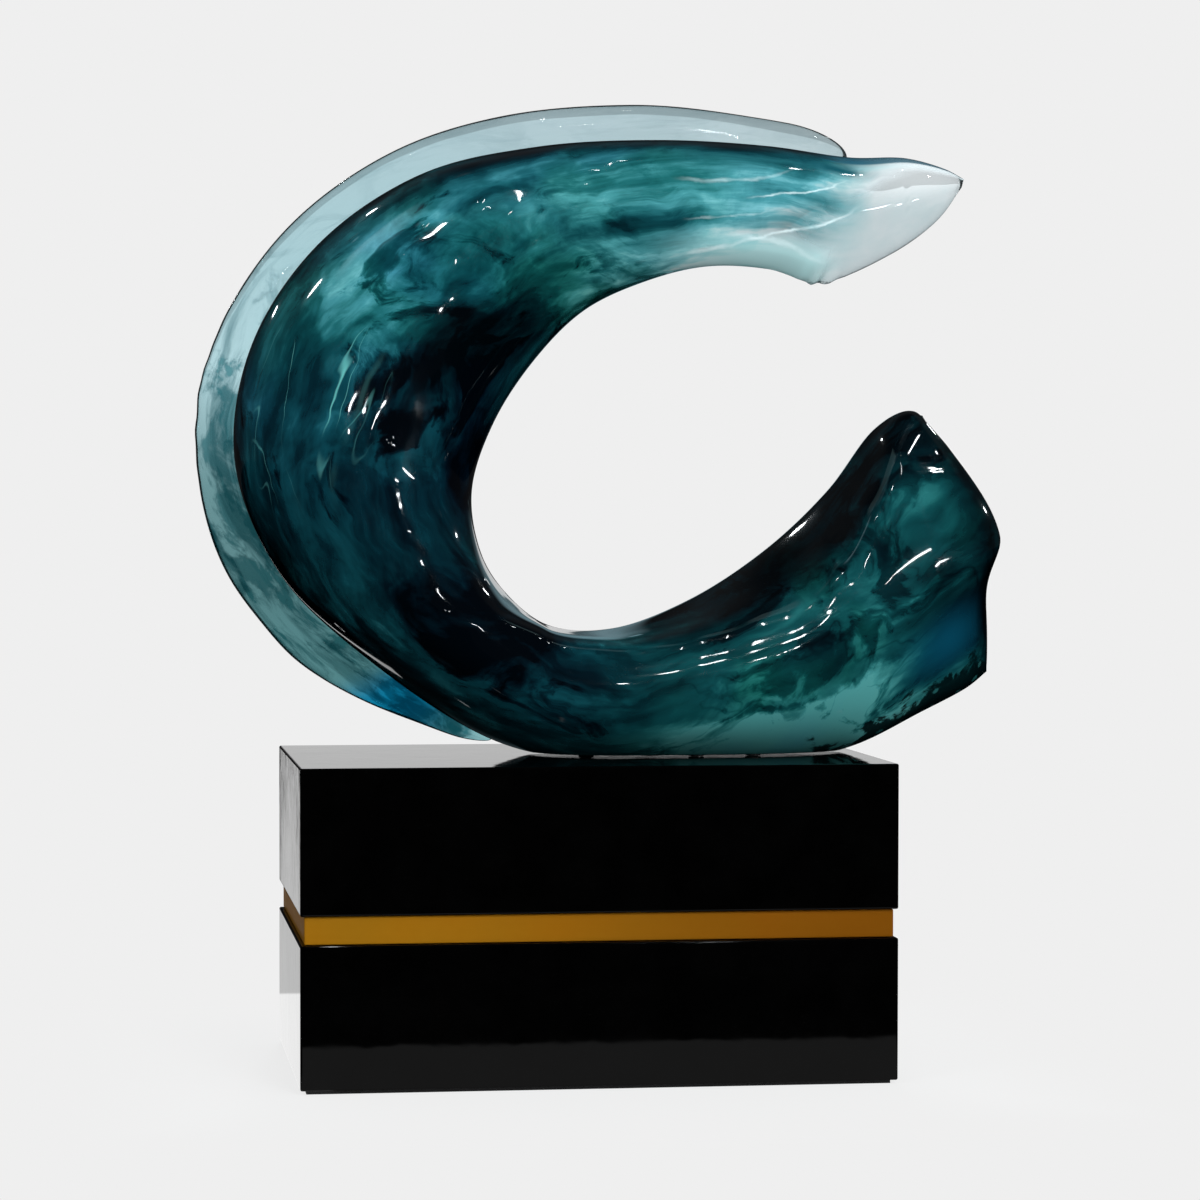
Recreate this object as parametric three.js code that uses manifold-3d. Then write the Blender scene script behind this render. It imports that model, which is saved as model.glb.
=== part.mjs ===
// A cast-resin wave standing on a plinth of two lacquered blocks with a gold band between them.
// Millimetres, +Z up, +X along the plinth, -Y towards the viewer.
// The origin is the centre of the felt face that rests on the table.

import * as THREE from "three";
import { mergeVertices } from "three/addons/utils/BufferGeometryUtils.js";
import Module from "manifold-3d";

// Driving dimensions of the plinth
const PLINTH_WIDTH = 280;
const PLINTH_DEPTH = 150;
const UPPER_HEIGHT = 68;
const BAND_HEIGHT = 13.5;
const LOWER_HEIGHT = 67;
const BOARD = 12;
const BAND_RECESS = 2;
const BAND_WALL = 1.2;
const FELT_THICKNESS = 1.5;
const FELT_MARGIN = 3;
const CLEAT = 18;
const CLEAT_MARGIN = 40;
const GLUE_LINE = 0.3;

// Driving dimensions of the fasteners
const STUD_DIAMETER = 5;
const STUD_BURIED = 26;
const STUD_TAIL = 3;
const SPACER_WALL = 1;
const FOOT_GAP = 2.5;
const WASHER_DIAMETER = 14;
const WASHER_THICKNESS = 1.2;
const NUT_ACROSS_FLATS = 8;
const NUT_HEIGHT = 4.5;
const SCREW_DIAMETER = 4;
const SCREW_HEAD_DIAMETER = 8;
const SCREW_HEAD_HEIGHT = 2.6;
const SCREW_HEAD_FLAT = 0.75;
const SCREW_BITE = 14;
const SCREW_TO_CLEAT_END = 23;
const HOLE_CLEARANCE = 0.3;

// Driving dimensions of the wave
const WAVE_LENGTH = 372;
const WAVE_HEIGHT = 296;
const WAVE_DEPTH = 76;
const BOND_Y = 14;
const TAIL_BOW = 8;
const TAIL_BUMP = 16;
const TAIL_BUMP_AT = 0.5;
const TAIL_BUMP_FALL = 0.12;
const TAIL_BENT_SECTIONS = 3.5;
const CREST_FULL_REACH = 15;
const CREST_COVER = 0.5;
const CREST_FRONT_SWELL = 13;
const CREST_REAR_SWELL = 15;
const CREST_SEAT = 10;
const CREST_FIRST_SECTION = 7;
const CREST_LAST_SECTION = 17;
const CREST_END_ROUND = 0.7;
const CREST_END_BLUNT = 0.02;

// Cross-sections of the wave from the end of its lower arm round to its tip.
// Outer and inner are points [x, z] on the outside and the inside of the curl, with z above the foot,
// in hundredths of the wave's length and height.
// Front and rear are how far the section swells from the bond face, in hundredths of the wave's depth.
// Crest is how far the crest passes the body, in hundredths of the wave's height.
const WAVE_SECTIONS = [
  { outer: [55.6, 12.2], inner: [47.3, 55.1], front: 21.1, rear: 7.9, crest: 0 },
  { outer: [52.7, 9.5], inner: [44.4, 55.7], front: 50, rear: 15.8, crest: 0 },
  { outer: [46.2, 5.4], inner: [40.3, 52.7], front: 68.4, rear: 19.7, crest: 0 },
  { outer: [37.1, 0], inner: [34.1, 42.6], front: 78.9, rear: 19.7, crest: 0 },
  { outer: [26.9, -2.7], inner: [25.8, 32.8], front: 84.2, rear: 18.4, crest: 0 },
  { outer: [13.4, -2.7], inner: [15.3, 24.3], front: 85.5, rear: 15.8, crest: 0 },
  { outer: [0.5, -2], inner: [4.8, 19.6], front: 85.5, rear: 10.5, crest: 0 },
  { outer: [-10.8, 1.4], inner: [-3.5, 20.3], front: 86.8, rear: 0, crest: 1.2 },
  { outer: [-26.3, 13.9], inner: [-9.1, 25.7], front: 94.7, rear: 0, crest: 6.9 },
  { outer: [-38.4, 28.4], inner: [-12.6, 32.8], front: 100, rear: 0, crest: 8 },
  { outer: [-44.4, 46.6], inner: [-13.7, 42.2], front: 100, rear: 0, crest: 6.1 },
  { outer: [-42.5, 65.2], inner: [-10.8, 53.4], front: 94.7, rear: 0, crest: 5.7 },
  { outer: [-33.9, 82.1], inner: [-5.1, 64.2], front: 86.8, rear: 0, crest: 5.8 },
  { outer: [-20.4, 93.9], inner: [1.3, 72], front: 76.3, rear: 0, crest: 6.2 },
  { outer: [-5.4, 98.6], inner: [9.1, 76.7], front: 65.8, rear: 0, crest: 7.4 },
  { outer: [10.8, 100], inner: [17.5, 79.4], front: 57.9, rear: 0, crest: 7 },
  { outer: [25.3, 99.3], inner: [25.8, 79.1], front: 50, rear: 0, crest: 5.3 },
  { outer: [36.6, 97.6], inner: [32.8, 77], front: 43.4, rear: 0, crest: 4.4 },
  { outer: [44.1, 97.6], inner: [41.9, 81.4], front: 34.2, rear: 10.5, crest: 0 },
  { outer: [49.5, 95.9], inner: [48.4, 87.2], front: 21.1, rear: 9.2, crest: 0 },
  { outer: [52.2, 94.3], inner: [51.9, 92.9], front: 5.3, rear: 2.6, crest: 0 },
];

// Where the three studs stand under the foot: two near its front and one behind them,
// [x, y] in hundredths of the wave's length and depth
const STUD_SHARES = {
  right: [22.3, -23.7],
  middle: [14.8, -23.7],
  left: [1.1, -2.6],
};

// How finely the round shapes are faceted
const STEPS_PER_SECTION = 4;
const SIDE_POINTS = 8;
const ROUND_SIDES = 16;

// Heights that follow from the stack of blocks
const LOWER_TOP = FELT_THICKNESS + LOWER_HEIGHT;
const UPPER_BOTTOM = LOWER_TOP + BAND_HEIGHT;
const PLINTH_TOP = UPPER_BOTTOM + UPPER_HEIGHT;
const FOOT_Z = PLINTH_TOP + FOOT_GAP;

// Sizes that one hundredth of the wave stands for
const LENGTH_UNIT = WAVE_LENGTH / 100;
const HEIGHT_UNIT = WAVE_HEIGHT / 100;
const DEPTH_UNIT = WAVE_DEPTH / 100;

const wasm = await Module();
wasm.setup();

const sculpture = new THREE.Group();

// Materials

const resin = () => new THREE.MeshStandardMaterial({ color: 0x0b3a44, roughness: 0.05 });
const clearResin = () => new THREE.MeshStandardMaterial({ color: 0xa9c7cb, roughness: 0.05 });
const lacquer = () => new THREE.MeshStandardMaterial({ color: 0x050505, roughness: 0.06 });
const gold = () => new THREE.MeshStandardMaterial({ color: 0xb57d1c, roughness: 0.2, metalness: 1 });
const rawBoard = () => new THREE.MeshStandardMaterial({ color: 0x8a6a48, roughness: 0.8 });
const steel = () => new THREE.MeshStandardMaterial({ color: 0x9a9da0, roughness: 0.35, metalness: 1 });
const darkSleeve = () => new THREE.MeshStandardMaterial({ color: 0x141616, roughness: 0.4 });
const feltCloth = () => new THREE.MeshStandardMaterial({ color: 0x101010, roughness: 1 });

// Shared helpers

function add(name, geometry, material, x = 0, y = 0, z = 0, turn = 0) {
  const mesh = new THREE.Mesh(geometry, material);
  mesh.name = name;
  mesh.position.set(x, y, z);
  mesh.rotation.z = turn;
  sculpture.add(mesh);
}

function solidOf(geometry) {
  const bare = geometry.clone();
  bare.deleteAttribute("normal");
  bare.deleteAttribute("uv");
  const merged = mergeVertices(bare);
  const vertProperties = new Float32Array(merged.attributes.position.array);
  const triVerts = new Uint32Array(merged.index.array);
  return new wasm.Manifold(new wasm.Mesh({ numProp: 3, vertProperties, triVerts }));
}

function geometryOf(solid) {
  const mesh = solid.getMesh();
  const geometry = new THREE.BufferGeometry();
  geometry.setAttribute("position", new THREE.BufferAttribute(mesh.vertProperties, 3));
  geometry.setIndex(new THREE.BufferAttribute(mesh.triVerts, 1));
  return geometry;
}

// An upright round rod that starts at height z, for cutting holes
function rod(diameter, length, x, y, z) {
  const geometry = new THREE.CylinderGeometry(diameter / 2, diameter / 2, length, ROUND_SIDES);
  geometry.rotateX(Math.PI / 2);
  geometry.translate(x, y, z + length / 2);
  return geometry;
}

function bored(blank, cutters) {
  const cut = cutters.reduce((solid, cutter) => solid.subtract(solidOf(cutter)), solidOf(blank));
  return geometryOf(cut);
}

function rectangle(width, depth) {
  const shape = new THREE.Shape();
  shape.moveTo(-width / 2, -depth / 2);
  shape.lineTo(width / 2, -depth / 2);
  shape.lineTo(width / 2, depth / 2);
  shape.lineTo(-width / 2, depth / 2);
  shape.closePath();
  return shape;
}

function circle(diameter, x = 0, y = 0) {
  const path = new THREE.Path();
  path.absarc(x, y, diameter / 2, 0, Math.PI * 2, true);
  return path;
}

// A flat plate of the given thickness with round holes at [x, y] places
function plate(shape, thickness, holeDiameter, places) {
  shape.holes.push(...places.map(([x, y]) => circle(holeDiameter, x, y)));
  return new THREE.ExtrudeGeometry(shape, {
    depth: thickness,
    bevelEnabled: false,
    curveSegments: ROUND_SIDES / 2,
  });
}

// A turned ring or sleeve: an outer and an inner diameter over a height
function sleeve(outerDiameter, innerDiameter, height) {
  const outer = outerDiameter / 2;
  const inner = innerDiameter / 2;
  const profile = [
    new THREE.Vector2(inner, 0),
    new THREE.Vector2(outer, 0),
    new THREE.Vector2(outer, height),
    new THREE.Vector2(inner, height),
    new THREE.Vector2(inner, 0),
  ];
  const geometry = new THREE.LatheGeometry(profile, ROUND_SIDES);
  geometry.rotateX(Math.PI / 2);
  return geometry;
}

// The plinth

function studPlace([x, y]) {
  return [x * LENGTH_UNIT, y * DEPTH_UNIT];
}

const STUD_HOLE = STUD_DIAMETER + 2 * HOLE_CLEARANCE;
const SCREW_HOLE = SCREW_DIAMETER + 2 * HOLE_CLEARANCE;
const HEAD_HOLE = SCREW_HEAD_DIAMETER + 2 * HOLE_CLEARANCE;
const CLEAT_Y = PLINTH_DEPTH / 2 - BOARD - GLUE_LINE - CLEAT / 2;
const INNER_WIDTH = PLINTH_WIDTH - 2 * BOARD;
const INNER_DEPTH = PLINTH_DEPTH - 2 * BOARD;
const CLEAT_LENGTH = INNER_WIDTH - 2 * CLEAT_MARGIN;
const SCREW_X = CLEAT_LENGTH / 2 - SCREW_TO_CLEAT_END;
const STUD_PLACES = {
  right: studPlace(STUD_SHARES.right),
  middle: studPlace(STUD_SHARES.middle),
  left: studPlace(STUD_SHARES.left),
};
const studPlaces = Object.values(STUD_PLACES);
const SCREW_PLACES = {
  front_left: [-SCREW_X, -CLEAT_Y],
  front_right: [SCREW_X, -CLEAT_Y],
  rear_left: [-SCREW_X, CLEAT_Y],
  rear_right: [SCREW_X, CLEAT_Y],
};
const screwPlaces = Object.values(SCREW_PLACES);

// An upright side board, mitred at both ends, with its outer face on y = 0 and its inner face behind it
function mitredBoard(length, height) {
  const shape = new THREE.Shape();
  shape.moveTo(-length / 2 + GLUE_LINE, 0);
  shape.lineTo(length / 2 - GLUE_LINE, 0);
  shape.lineTo(length / 2 - BOARD - GLUE_LINE, BOARD);
  shape.lineTo(-length / 2 + BOARD + GLUE_LINE, BOARD);
  shape.closePath();
  return new THREE.ExtrudeGeometry(shape, { depth: height, bevelEnabled: false });
}

// The four side boards and the top board of one block
function addBlock(name, bottom, height, holeDiameter, holePlaces) {
  const sideHeight = height - BOARD - GLUE_LINE;
  const acrossHalf = PLINTH_WIDTH / 2;
  const deepHalf = PLINTH_DEPTH / 2;
  const quarter = Math.PI / 2;
  const broad = () => mitredBoard(PLINTH_WIDTH, sideHeight);
  const narrow = () => mitredBoard(PLINTH_DEPTH, sideHeight);
  add(`${name}_front_board`, broad(), lacquer(), 0, -deepHalf, bottom);
  add(`${name}_right_board`, narrow(), lacquer(), acrossHalf, 0, bottom, quarter);
  add(`${name}_rear_board`, broad(), lacquer(), 0, deepHalf, bottom, 2 * quarter);
  add(`${name}_left_board`, narrow(), lacquer(), -acrossHalf, 0, bottom, 3 * quarter);
  const top = plate(rectangle(PLINTH_WIDTH, PLINTH_DEPTH), BOARD, holeDiameter, holePlaces);
  add(`${name}_top_board`, top, lacquer(), 0, 0, bottom + height - BOARD);
}

// The two cleats of one block, along the feet of its front and rear boards
function addCleats(name, bottom) {
  const places = [-1, 1].map((side) => [side * SCREW_X, 0]);
  const cleat = () => plate(rectangle(CLEAT_LENGTH, CLEAT), CLEAT, SCREW_HOLE, places);
  add(`${name}_front_cleat`, cleat(), rawBoard(), 0, -CLEAT_Y, bottom);
  add(`${name}_rear_cleat`, cleat(), rawBoard(), 0, CLEAT_Y, bottom);
}

const baseBottom = FELT_THICKNESS + GLUE_LINE;
addBlock("lower", baseBottom, LOWER_TOP - baseBottom, SCREW_HOLE, screwPlaces);
addBlock("upper", UPPER_BOTTOM, UPPER_HEIGHT, STUD_HOLE, studPlaces);
addCleats("upper", UPPER_BOTTOM);

const bandWidth = PLINTH_WIDTH - 2 * BAND_RECESS;
const bandDepth = PLINTH_DEPTH - 2 * BAND_RECESS;
const bandHeight = BAND_HEIGHT - 2 * GLUE_LINE;
const bandShape = rectangle(bandWidth, bandDepth);
bandShape.holes.push(rectangle(bandWidth - 2 * BAND_WALL, bandDepth - 2 * BAND_WALL));
const band = new THREE.ExtrudeGeometry(bandShape, { depth: bandHeight, bevelEnabled: false });
add("gold_band", band, gold(), 0, 0, LOWER_TOP + GLUE_LINE);

const coreInset = 2 * (BAND_WALL + GLUE_LINE);
const coreShape = rectangle(bandWidth - coreInset, bandDepth - coreInset);
const core = plate(coreShape, bandHeight, SCREW_HOLE, screwPlaces);
add("spacer_board", core, rawBoard(), 0, 0, LOWER_TOP + GLUE_LINE);

// The base board closes the lower block, with the screw heads sunk in its underside
const headDepth = SCREW_HEAD_HEIGHT + HOLE_CLEARANCE;
const baseShape = rectangle(INNER_WIDTH - 2 * GLUE_LINE, INNER_DEPTH - 2 * GLUE_LINE);
const baseBlank = plate(baseShape, BOARD, SCREW_HOLE, screwPlaces);
const headHoles = screwPlaces.map(([x, y]) => rod(HEAD_HOLE, 2 * headDepth, x, y, -headDepth));
add("base_board", bored(baseBlank, headHoles), rawBoard(), 0, 0, baseBottom);
addCleats("lower", baseBottom + BOARD + GLUE_LINE);

const feltShape = rectangle(PLINTH_WIDTH - 2 * FELT_MARGIN, PLINTH_DEPTH - 2 * FELT_MARGIN);
add("felt_sheet", plate(feltShape, FELT_THICKNESS, SCREW_HOLE, []), feltCloth());

// A pan-head screw with its point up and the seat of its head at z = 0
function screw(length) {
  const shank = SCREW_DIAMETER / 2;
  const head = SCREW_HEAD_DIAMETER / 2;
  const profile = [
    new THREE.Vector2(0, -SCREW_HEAD_HEIGHT),
    new THREE.Vector2(head * SCREW_HEAD_FLAT, -SCREW_HEAD_HEIGHT),
    new THREE.Vector2(head, -SCREW_HEAD_HEIGHT / 2),
    new THREE.Vector2(head, 0),
    new THREE.Vector2(shank, 0),
    new THREE.Vector2(shank, length - SCREW_DIAMETER),
    new THREE.Vector2(0, length),
  ];
  const geometry = new THREE.LatheGeometry(profile, ROUND_SIDES);
  geometry.rotateX(Math.PI / 2);
  return geometry;
}

const tieSeat = LOWER_TOP - BOARD - GLUE_LINE;
const tieLength = UPPER_BOTTOM + SCREW_BITE - tieSeat;
const baseSeat = baseBottom + headDepth - HOLE_CLEARANCE;
const baseLength = baseBottom + BOARD + GLUE_LINE + SCREW_BITE - baseSeat;
for (const [place, [x, y]] of Object.entries(SCREW_PLACES)) {
  add(`tie_screw_${place}`, screw(tieLength), steel(), x, y, tieSeat);
  add(`base_screw_${place}`, screw(baseLength), steel(), x, y, baseSeat);
}

// The wave

function edgePoint([x, z]) {
  return new THREE.Vector3(x * LENGTH_UNIT, 0, z * HEIGHT_UNIT);
}

function swellPoint({ front, rear, crest }) {
  return new THREE.Vector3(front * DEPTH_UNIT, rear * DEPTH_UNIT, crest * HEIGHT_UNIT);
}

const outerLine = new THREE.CatmullRomCurve3(WAVE_SECTIONS.map(({ outer }) => edgePoint(outer)));
const innerLine = new THREE.CatmullRomCurve3(WAVE_SECTIONS.map(({ inner }) => edgePoint(inner)));
const swellLine = new THREE.CatmullRomCurve3(WAVE_SECTIONS.map(swellPoint));
const LAST_SECTION = WAVE_SECTIONS.length - 1;

function smoothStep(value) {
  return THREE.MathUtils.smoothstep(value, 0, 1);
}

// Grows from 0 to 1 as a quarter circle does, then stays at 1
function roundEnd(share) {
  return Math.sqrt(1 - (1 - Math.min(1, share)) ** 2);
}

// How far the end of the lower arm bows outwards, by the share of the way from its inside to its outside
function tailBow(share) {
  const rise = smoothStep(share / TAIL_BUMP_AT);
  const fall = Math.exp(-(Math.max(0, (share - TAIL_BUMP_AT) / TAIL_BUMP_FALL) ** 2));
  return 4 * TAIL_BOW * share * (1 - share) + TAIL_BUMP * rise * fall;
}

// One closed ring of points across an arm: front points from outside to inside, then rear points back again
function crossSection(outer, inner, middleY, front, rear) {
  const count = SIDE_POINTS + 1;
  const points = [];
  for (let step = 0; step < 2 * count; step += 1) {
    const angle = (Math.PI * step) / count;
    const share = (1 + Math.cos(angle)) / 2;
    const point = new THREE.Vector3().lerpVectors(inner, outer, share);
    const swell = step < count ? front : rear;
    point.y = middleY - swell * Math.sin(angle);
    points.push(point);
  }
  return points;
}

// A closed skin over a row of rings, with a flat cap on each end
function loft(rings) {
  const size = rings[0].length;
  const half = size / 2;
  const index = [];
  const last = (rings.length - 1) * size;
  const quad = (a, b, c, d) => index.push(a, b, c, a, c, d);
  const mirror = (k) => (size - k) % size;
  for (let row = 0; row < rings.length - 1; row += 1) {
    const here = row * size;
    const next = here + size;
    for (let k = 0; k < size; k += 1) {
      const after = (k + 1) % size;
      quad(here + k, here + after, next + after, next + k);
    }
  }
  index.push(1, 0, mirror(1), last, last + 1, last + mirror(1));
  index.push(half, half - 1, half + 1, last + half - 1, last + half, last + half + 1);
  for (let k = 1; k < half - 1; k += 1) {
    quad(k + 1, k, mirror(k), mirror(k + 1));
    quad(last + k, last + k + 1, last + mirror(k + 1), last + mirror(k));
  }
  const positions = rings.flat().flatMap((point) => point.toArray());
  const geometry = new THREE.BufferGeometry();
  geometry.setAttribute("position", new THREE.Float32BufferAttribute(positions, 3));
  geometry.setIndex(index);
  return geometry;
}

// Each ring of the body is bowed near the end of the lower arm and ground flat at the foot
function bodyRing(section) {
  const at = section / LAST_SECTION;
  const outer = outerLine.getPoint(at);
  const inner = innerLine.getPoint(at);
  const swell = swellLine.getPoint(at);
  const ring = crossSection(outer, inner, BOND_Y, swell.x, Math.max(swell.y, 0));
  const across = new THREE.Vector3().subVectors(outer, inner);
  const outward = new THREE.Vector3(-across.z, 0, across.x).normalize();
  const bent = smoothStep(1 - section / TAIL_BENT_SECTIONS);
  for (const point of ring) {
    const share = point.clone().sub(inner).dot(across) / across.lengthSq();
    point.addScaledVector(outward, bent * tailBow(share));
    point.z = Math.max(point.z, 0);
  }
  return ring;
}

const bodyRings = [];
for (let step = 0; step <= LAST_SECTION * STEPS_PER_SECTION; step += 1) {
  bodyRings.push(bodyRing(step / STEPS_PER_SECTION));
}
const boreDepth = STUD_BURIED + HOLE_CLEARANCE;
const studBores = studPlaces.map(([x, y]) => rod(STUD_HOLE, 2 * boreDepth, x, y, -boreDepth));
add("wave_body", bored(loft(bodyRings), studBores), resin(), 0, 0, FOOT_Z);

// The crest follows the outside of the body, reaches past it and lies flat against its rear face
function crestRing(section) {
  const at = section / LAST_SECTION;
  const outer = outerLine.getPoint(at);
  const inner = innerLine.getPoint(at);
  const toEnd = (CREST_LAST_SECTION + CREST_END_BLUNT - section) / CREST_END_ROUND;
  const reach = swellLine.getPoint(at).z * roundEnd(toEnd);
  const size = Math.min(1, reach / CREST_FULL_REACH);
  const across = new THREE.Vector3().subVectors(outer, inner).normalize();
  const edge = outer.clone().addScaledVector(across, reach);
  const root = new THREE.Vector3().lerpVectors(outer, inner, CREST_COVER * size);
  const seat = BOND_Y + GLUE_LINE;
  const front = CREST_FRONT_SWELL * size;
  const rear = CREST_REAR_SWELL * size;
  const ring = crossSection(edge, root, seat + CREST_SEAT * size, front, rear);
  for (const point of ring) {
    point.y = Math.max(point.y, seat);
    point.z = Math.max(point.z, 0);
  }
  return ring;
}

// The crest's rings lie closer together towards its two ends
const crestSteps = Math.round((CREST_LAST_SECTION - CREST_FIRST_SECTION) * STEPS_PER_SECTION);
const crestRings = [];
for (let step = 0; step <= crestSteps; step += 1) {
  const share = (1 - Math.cos((Math.PI * step) / crestSteps)) / 2;
  crestRings.push(crestRing(THREE.MathUtils.lerp(CREST_FIRST_SECTION, CREST_LAST_SECTION, share)));
}
add("rear_crest", loft(crestRings), clearResin(), 0, 0, FOOT_Z);

// The studs that hold the wave, from the inside of its foot down to a nut under the top board

function hexNut() {
  const shape = new THREE.Shape();
  const corner = NUT_ACROSS_FLATS / Math.sqrt(3);
  const sides = 6;
  for (let side = 0; side < sides; side += 1) {
    const angle = (2 * Math.PI * side) / sides;
    const point = [corner * Math.cos(angle), corner * Math.sin(angle)];
    if (side === 0) {
      shape.moveTo(...point);
    } else {
      shape.lineTo(...point);
    }
  }
  shape.closePath();
  return plate(shape, NUT_HEIGHT, STUD_HOLE, [[0, 0]]);
}

const boardUnderside = PLINTH_TOP - BOARD;
const washerBottom = boardUnderside - GLUE_LINE - WASHER_THICKNESS;
const nutBottom = washerBottom - GLUE_LINE - NUT_HEIGHT;
const studBottom = nutBottom - STUD_TAIL;
const studLength = FOOT_Z + STUD_BURIED - studBottom;
const spacerDiameter = STUD_HOLE + 2 * SPACER_WALL;
for (const [place, [x, y]] of Object.entries(STUD_PLACES)) {
  add(`stud_${place}`, rod(STUD_DIAMETER, studLength, 0, 0, 0), steel(), x, y, studBottom);
  const foot = sleeve(spacerDiameter, STUD_HOLE, FOOT_GAP - 2 * GLUE_LINE);
  add(`spacer_${place}`, foot, darkSleeve(), x, y, PLINTH_TOP + GLUE_LINE);
  const washer = sleeve(WASHER_DIAMETER, STUD_HOLE, WASHER_THICKNESS);
  add(`washer_${place}`, washer, steel(), x, y, washerBottom);
  add(`nut_${place}`, hexNut(), steel(), x, y, nutBottom);
}

export default sculpture;
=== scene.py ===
"""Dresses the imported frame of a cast-resin wave that stands on a black plinth with a gold band."""

import logging
import math
from abc import ABC, abstractmethod
from collections.abc import Iterable, Sequence
from dataclasses import dataclass
from enum import Enum

import bmesh
import bpy
from mathutils import Matrix, Vector, noise


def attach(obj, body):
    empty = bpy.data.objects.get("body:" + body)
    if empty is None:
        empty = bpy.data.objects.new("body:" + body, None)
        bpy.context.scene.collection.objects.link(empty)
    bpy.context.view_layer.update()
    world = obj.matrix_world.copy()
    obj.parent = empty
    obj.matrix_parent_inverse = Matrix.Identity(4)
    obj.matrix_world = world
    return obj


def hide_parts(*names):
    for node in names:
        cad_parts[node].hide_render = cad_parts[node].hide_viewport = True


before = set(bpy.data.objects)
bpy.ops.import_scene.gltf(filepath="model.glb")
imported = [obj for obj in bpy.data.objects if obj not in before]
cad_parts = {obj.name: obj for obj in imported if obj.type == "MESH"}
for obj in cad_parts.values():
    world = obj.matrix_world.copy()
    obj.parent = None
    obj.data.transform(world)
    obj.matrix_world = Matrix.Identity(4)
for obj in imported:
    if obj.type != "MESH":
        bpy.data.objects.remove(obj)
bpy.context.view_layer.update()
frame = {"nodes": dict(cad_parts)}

LOG = logging.getLogger("wave_sculpture")
MM = 0.001

Pair = tuple[float, float]
Triple = tuple[float, float, float]
Colour = Triple
Line = tuple[Pair, ...]
Stops = Sequence[tuple[float, Colour | float]]
Inputs = dict[str | int, object]

ZERO: Triple = (0.0, 0.0, 0.0)
HALVES: Triple = (0.5, 0.5, 0.5)
WHITE: Colour = (1.0, 1.0, 1.0)
CLOUDY_REACH: Pair = (0.3, 0.7)
EDDY_SCALE = 10.0
UPPER_BLOCK: Pair = (82 * MM, 150 * MM)
LOWER_BLOCK: Pair = (1.8 * MM, 68.5 * MM)


class Slot(Enum):
    """The record's material slots of the pieces that are made here."""

    TEAL_RESIN = "teal_resin"
    CLEAR_RESIN = "clear_resin"
    BLACK_LACQUER = "black_lacquer"
    GOLD_METAL = "gold_metal"


class Pattern(Enum):
    """The named attributes that the resin's patterns read."""

    FLOW = "flow"
    PLACE = "place"


def smooth_step(value: float) -> float:
    """Returns a smooth rise from 0 to 1 for a value that goes from 0 to 1."""
    held = min(1.0, max(0.0, value))
    return held * held * (3.0 - 2.0 * held)


def quarter_round(value: float) -> float:
    """Returns a rise from 0 to 1 along a quarter circle for a value that goes from 0 to 1."""
    return math.sqrt(max(0.0, 1.0 - (1.0 - value) ** 2))


def bell(value: float, centre: float, width: float) -> float:
    """Returns a smooth hump of height 1 at the centre."""
    return math.exp(-(((value - centre) / width) ** 2))


def through(points: Line, at: float) -> float:
    """Reads a smooth line through a few points.

    Args:
        points: Places and values, in rising order of place.
        at: The place to read.

    Returns:
        The value there, held level past the two ends.
    """
    if at <= points[0][0]:
        return points[0][1]
    for (here, low), (after, high) in zip(points, points[1:]):
        if at <= after:
            return low + (high - low) * smooth_step((at - here) / (after - here))
    return points[-1][1]


@dataclass(frozen=True)
class Band:
    """A stretch of a line: where a value rises, where it falls again, and its height between."""

    rise: Pair
    fall: Pair
    top: float = 1.0


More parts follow.
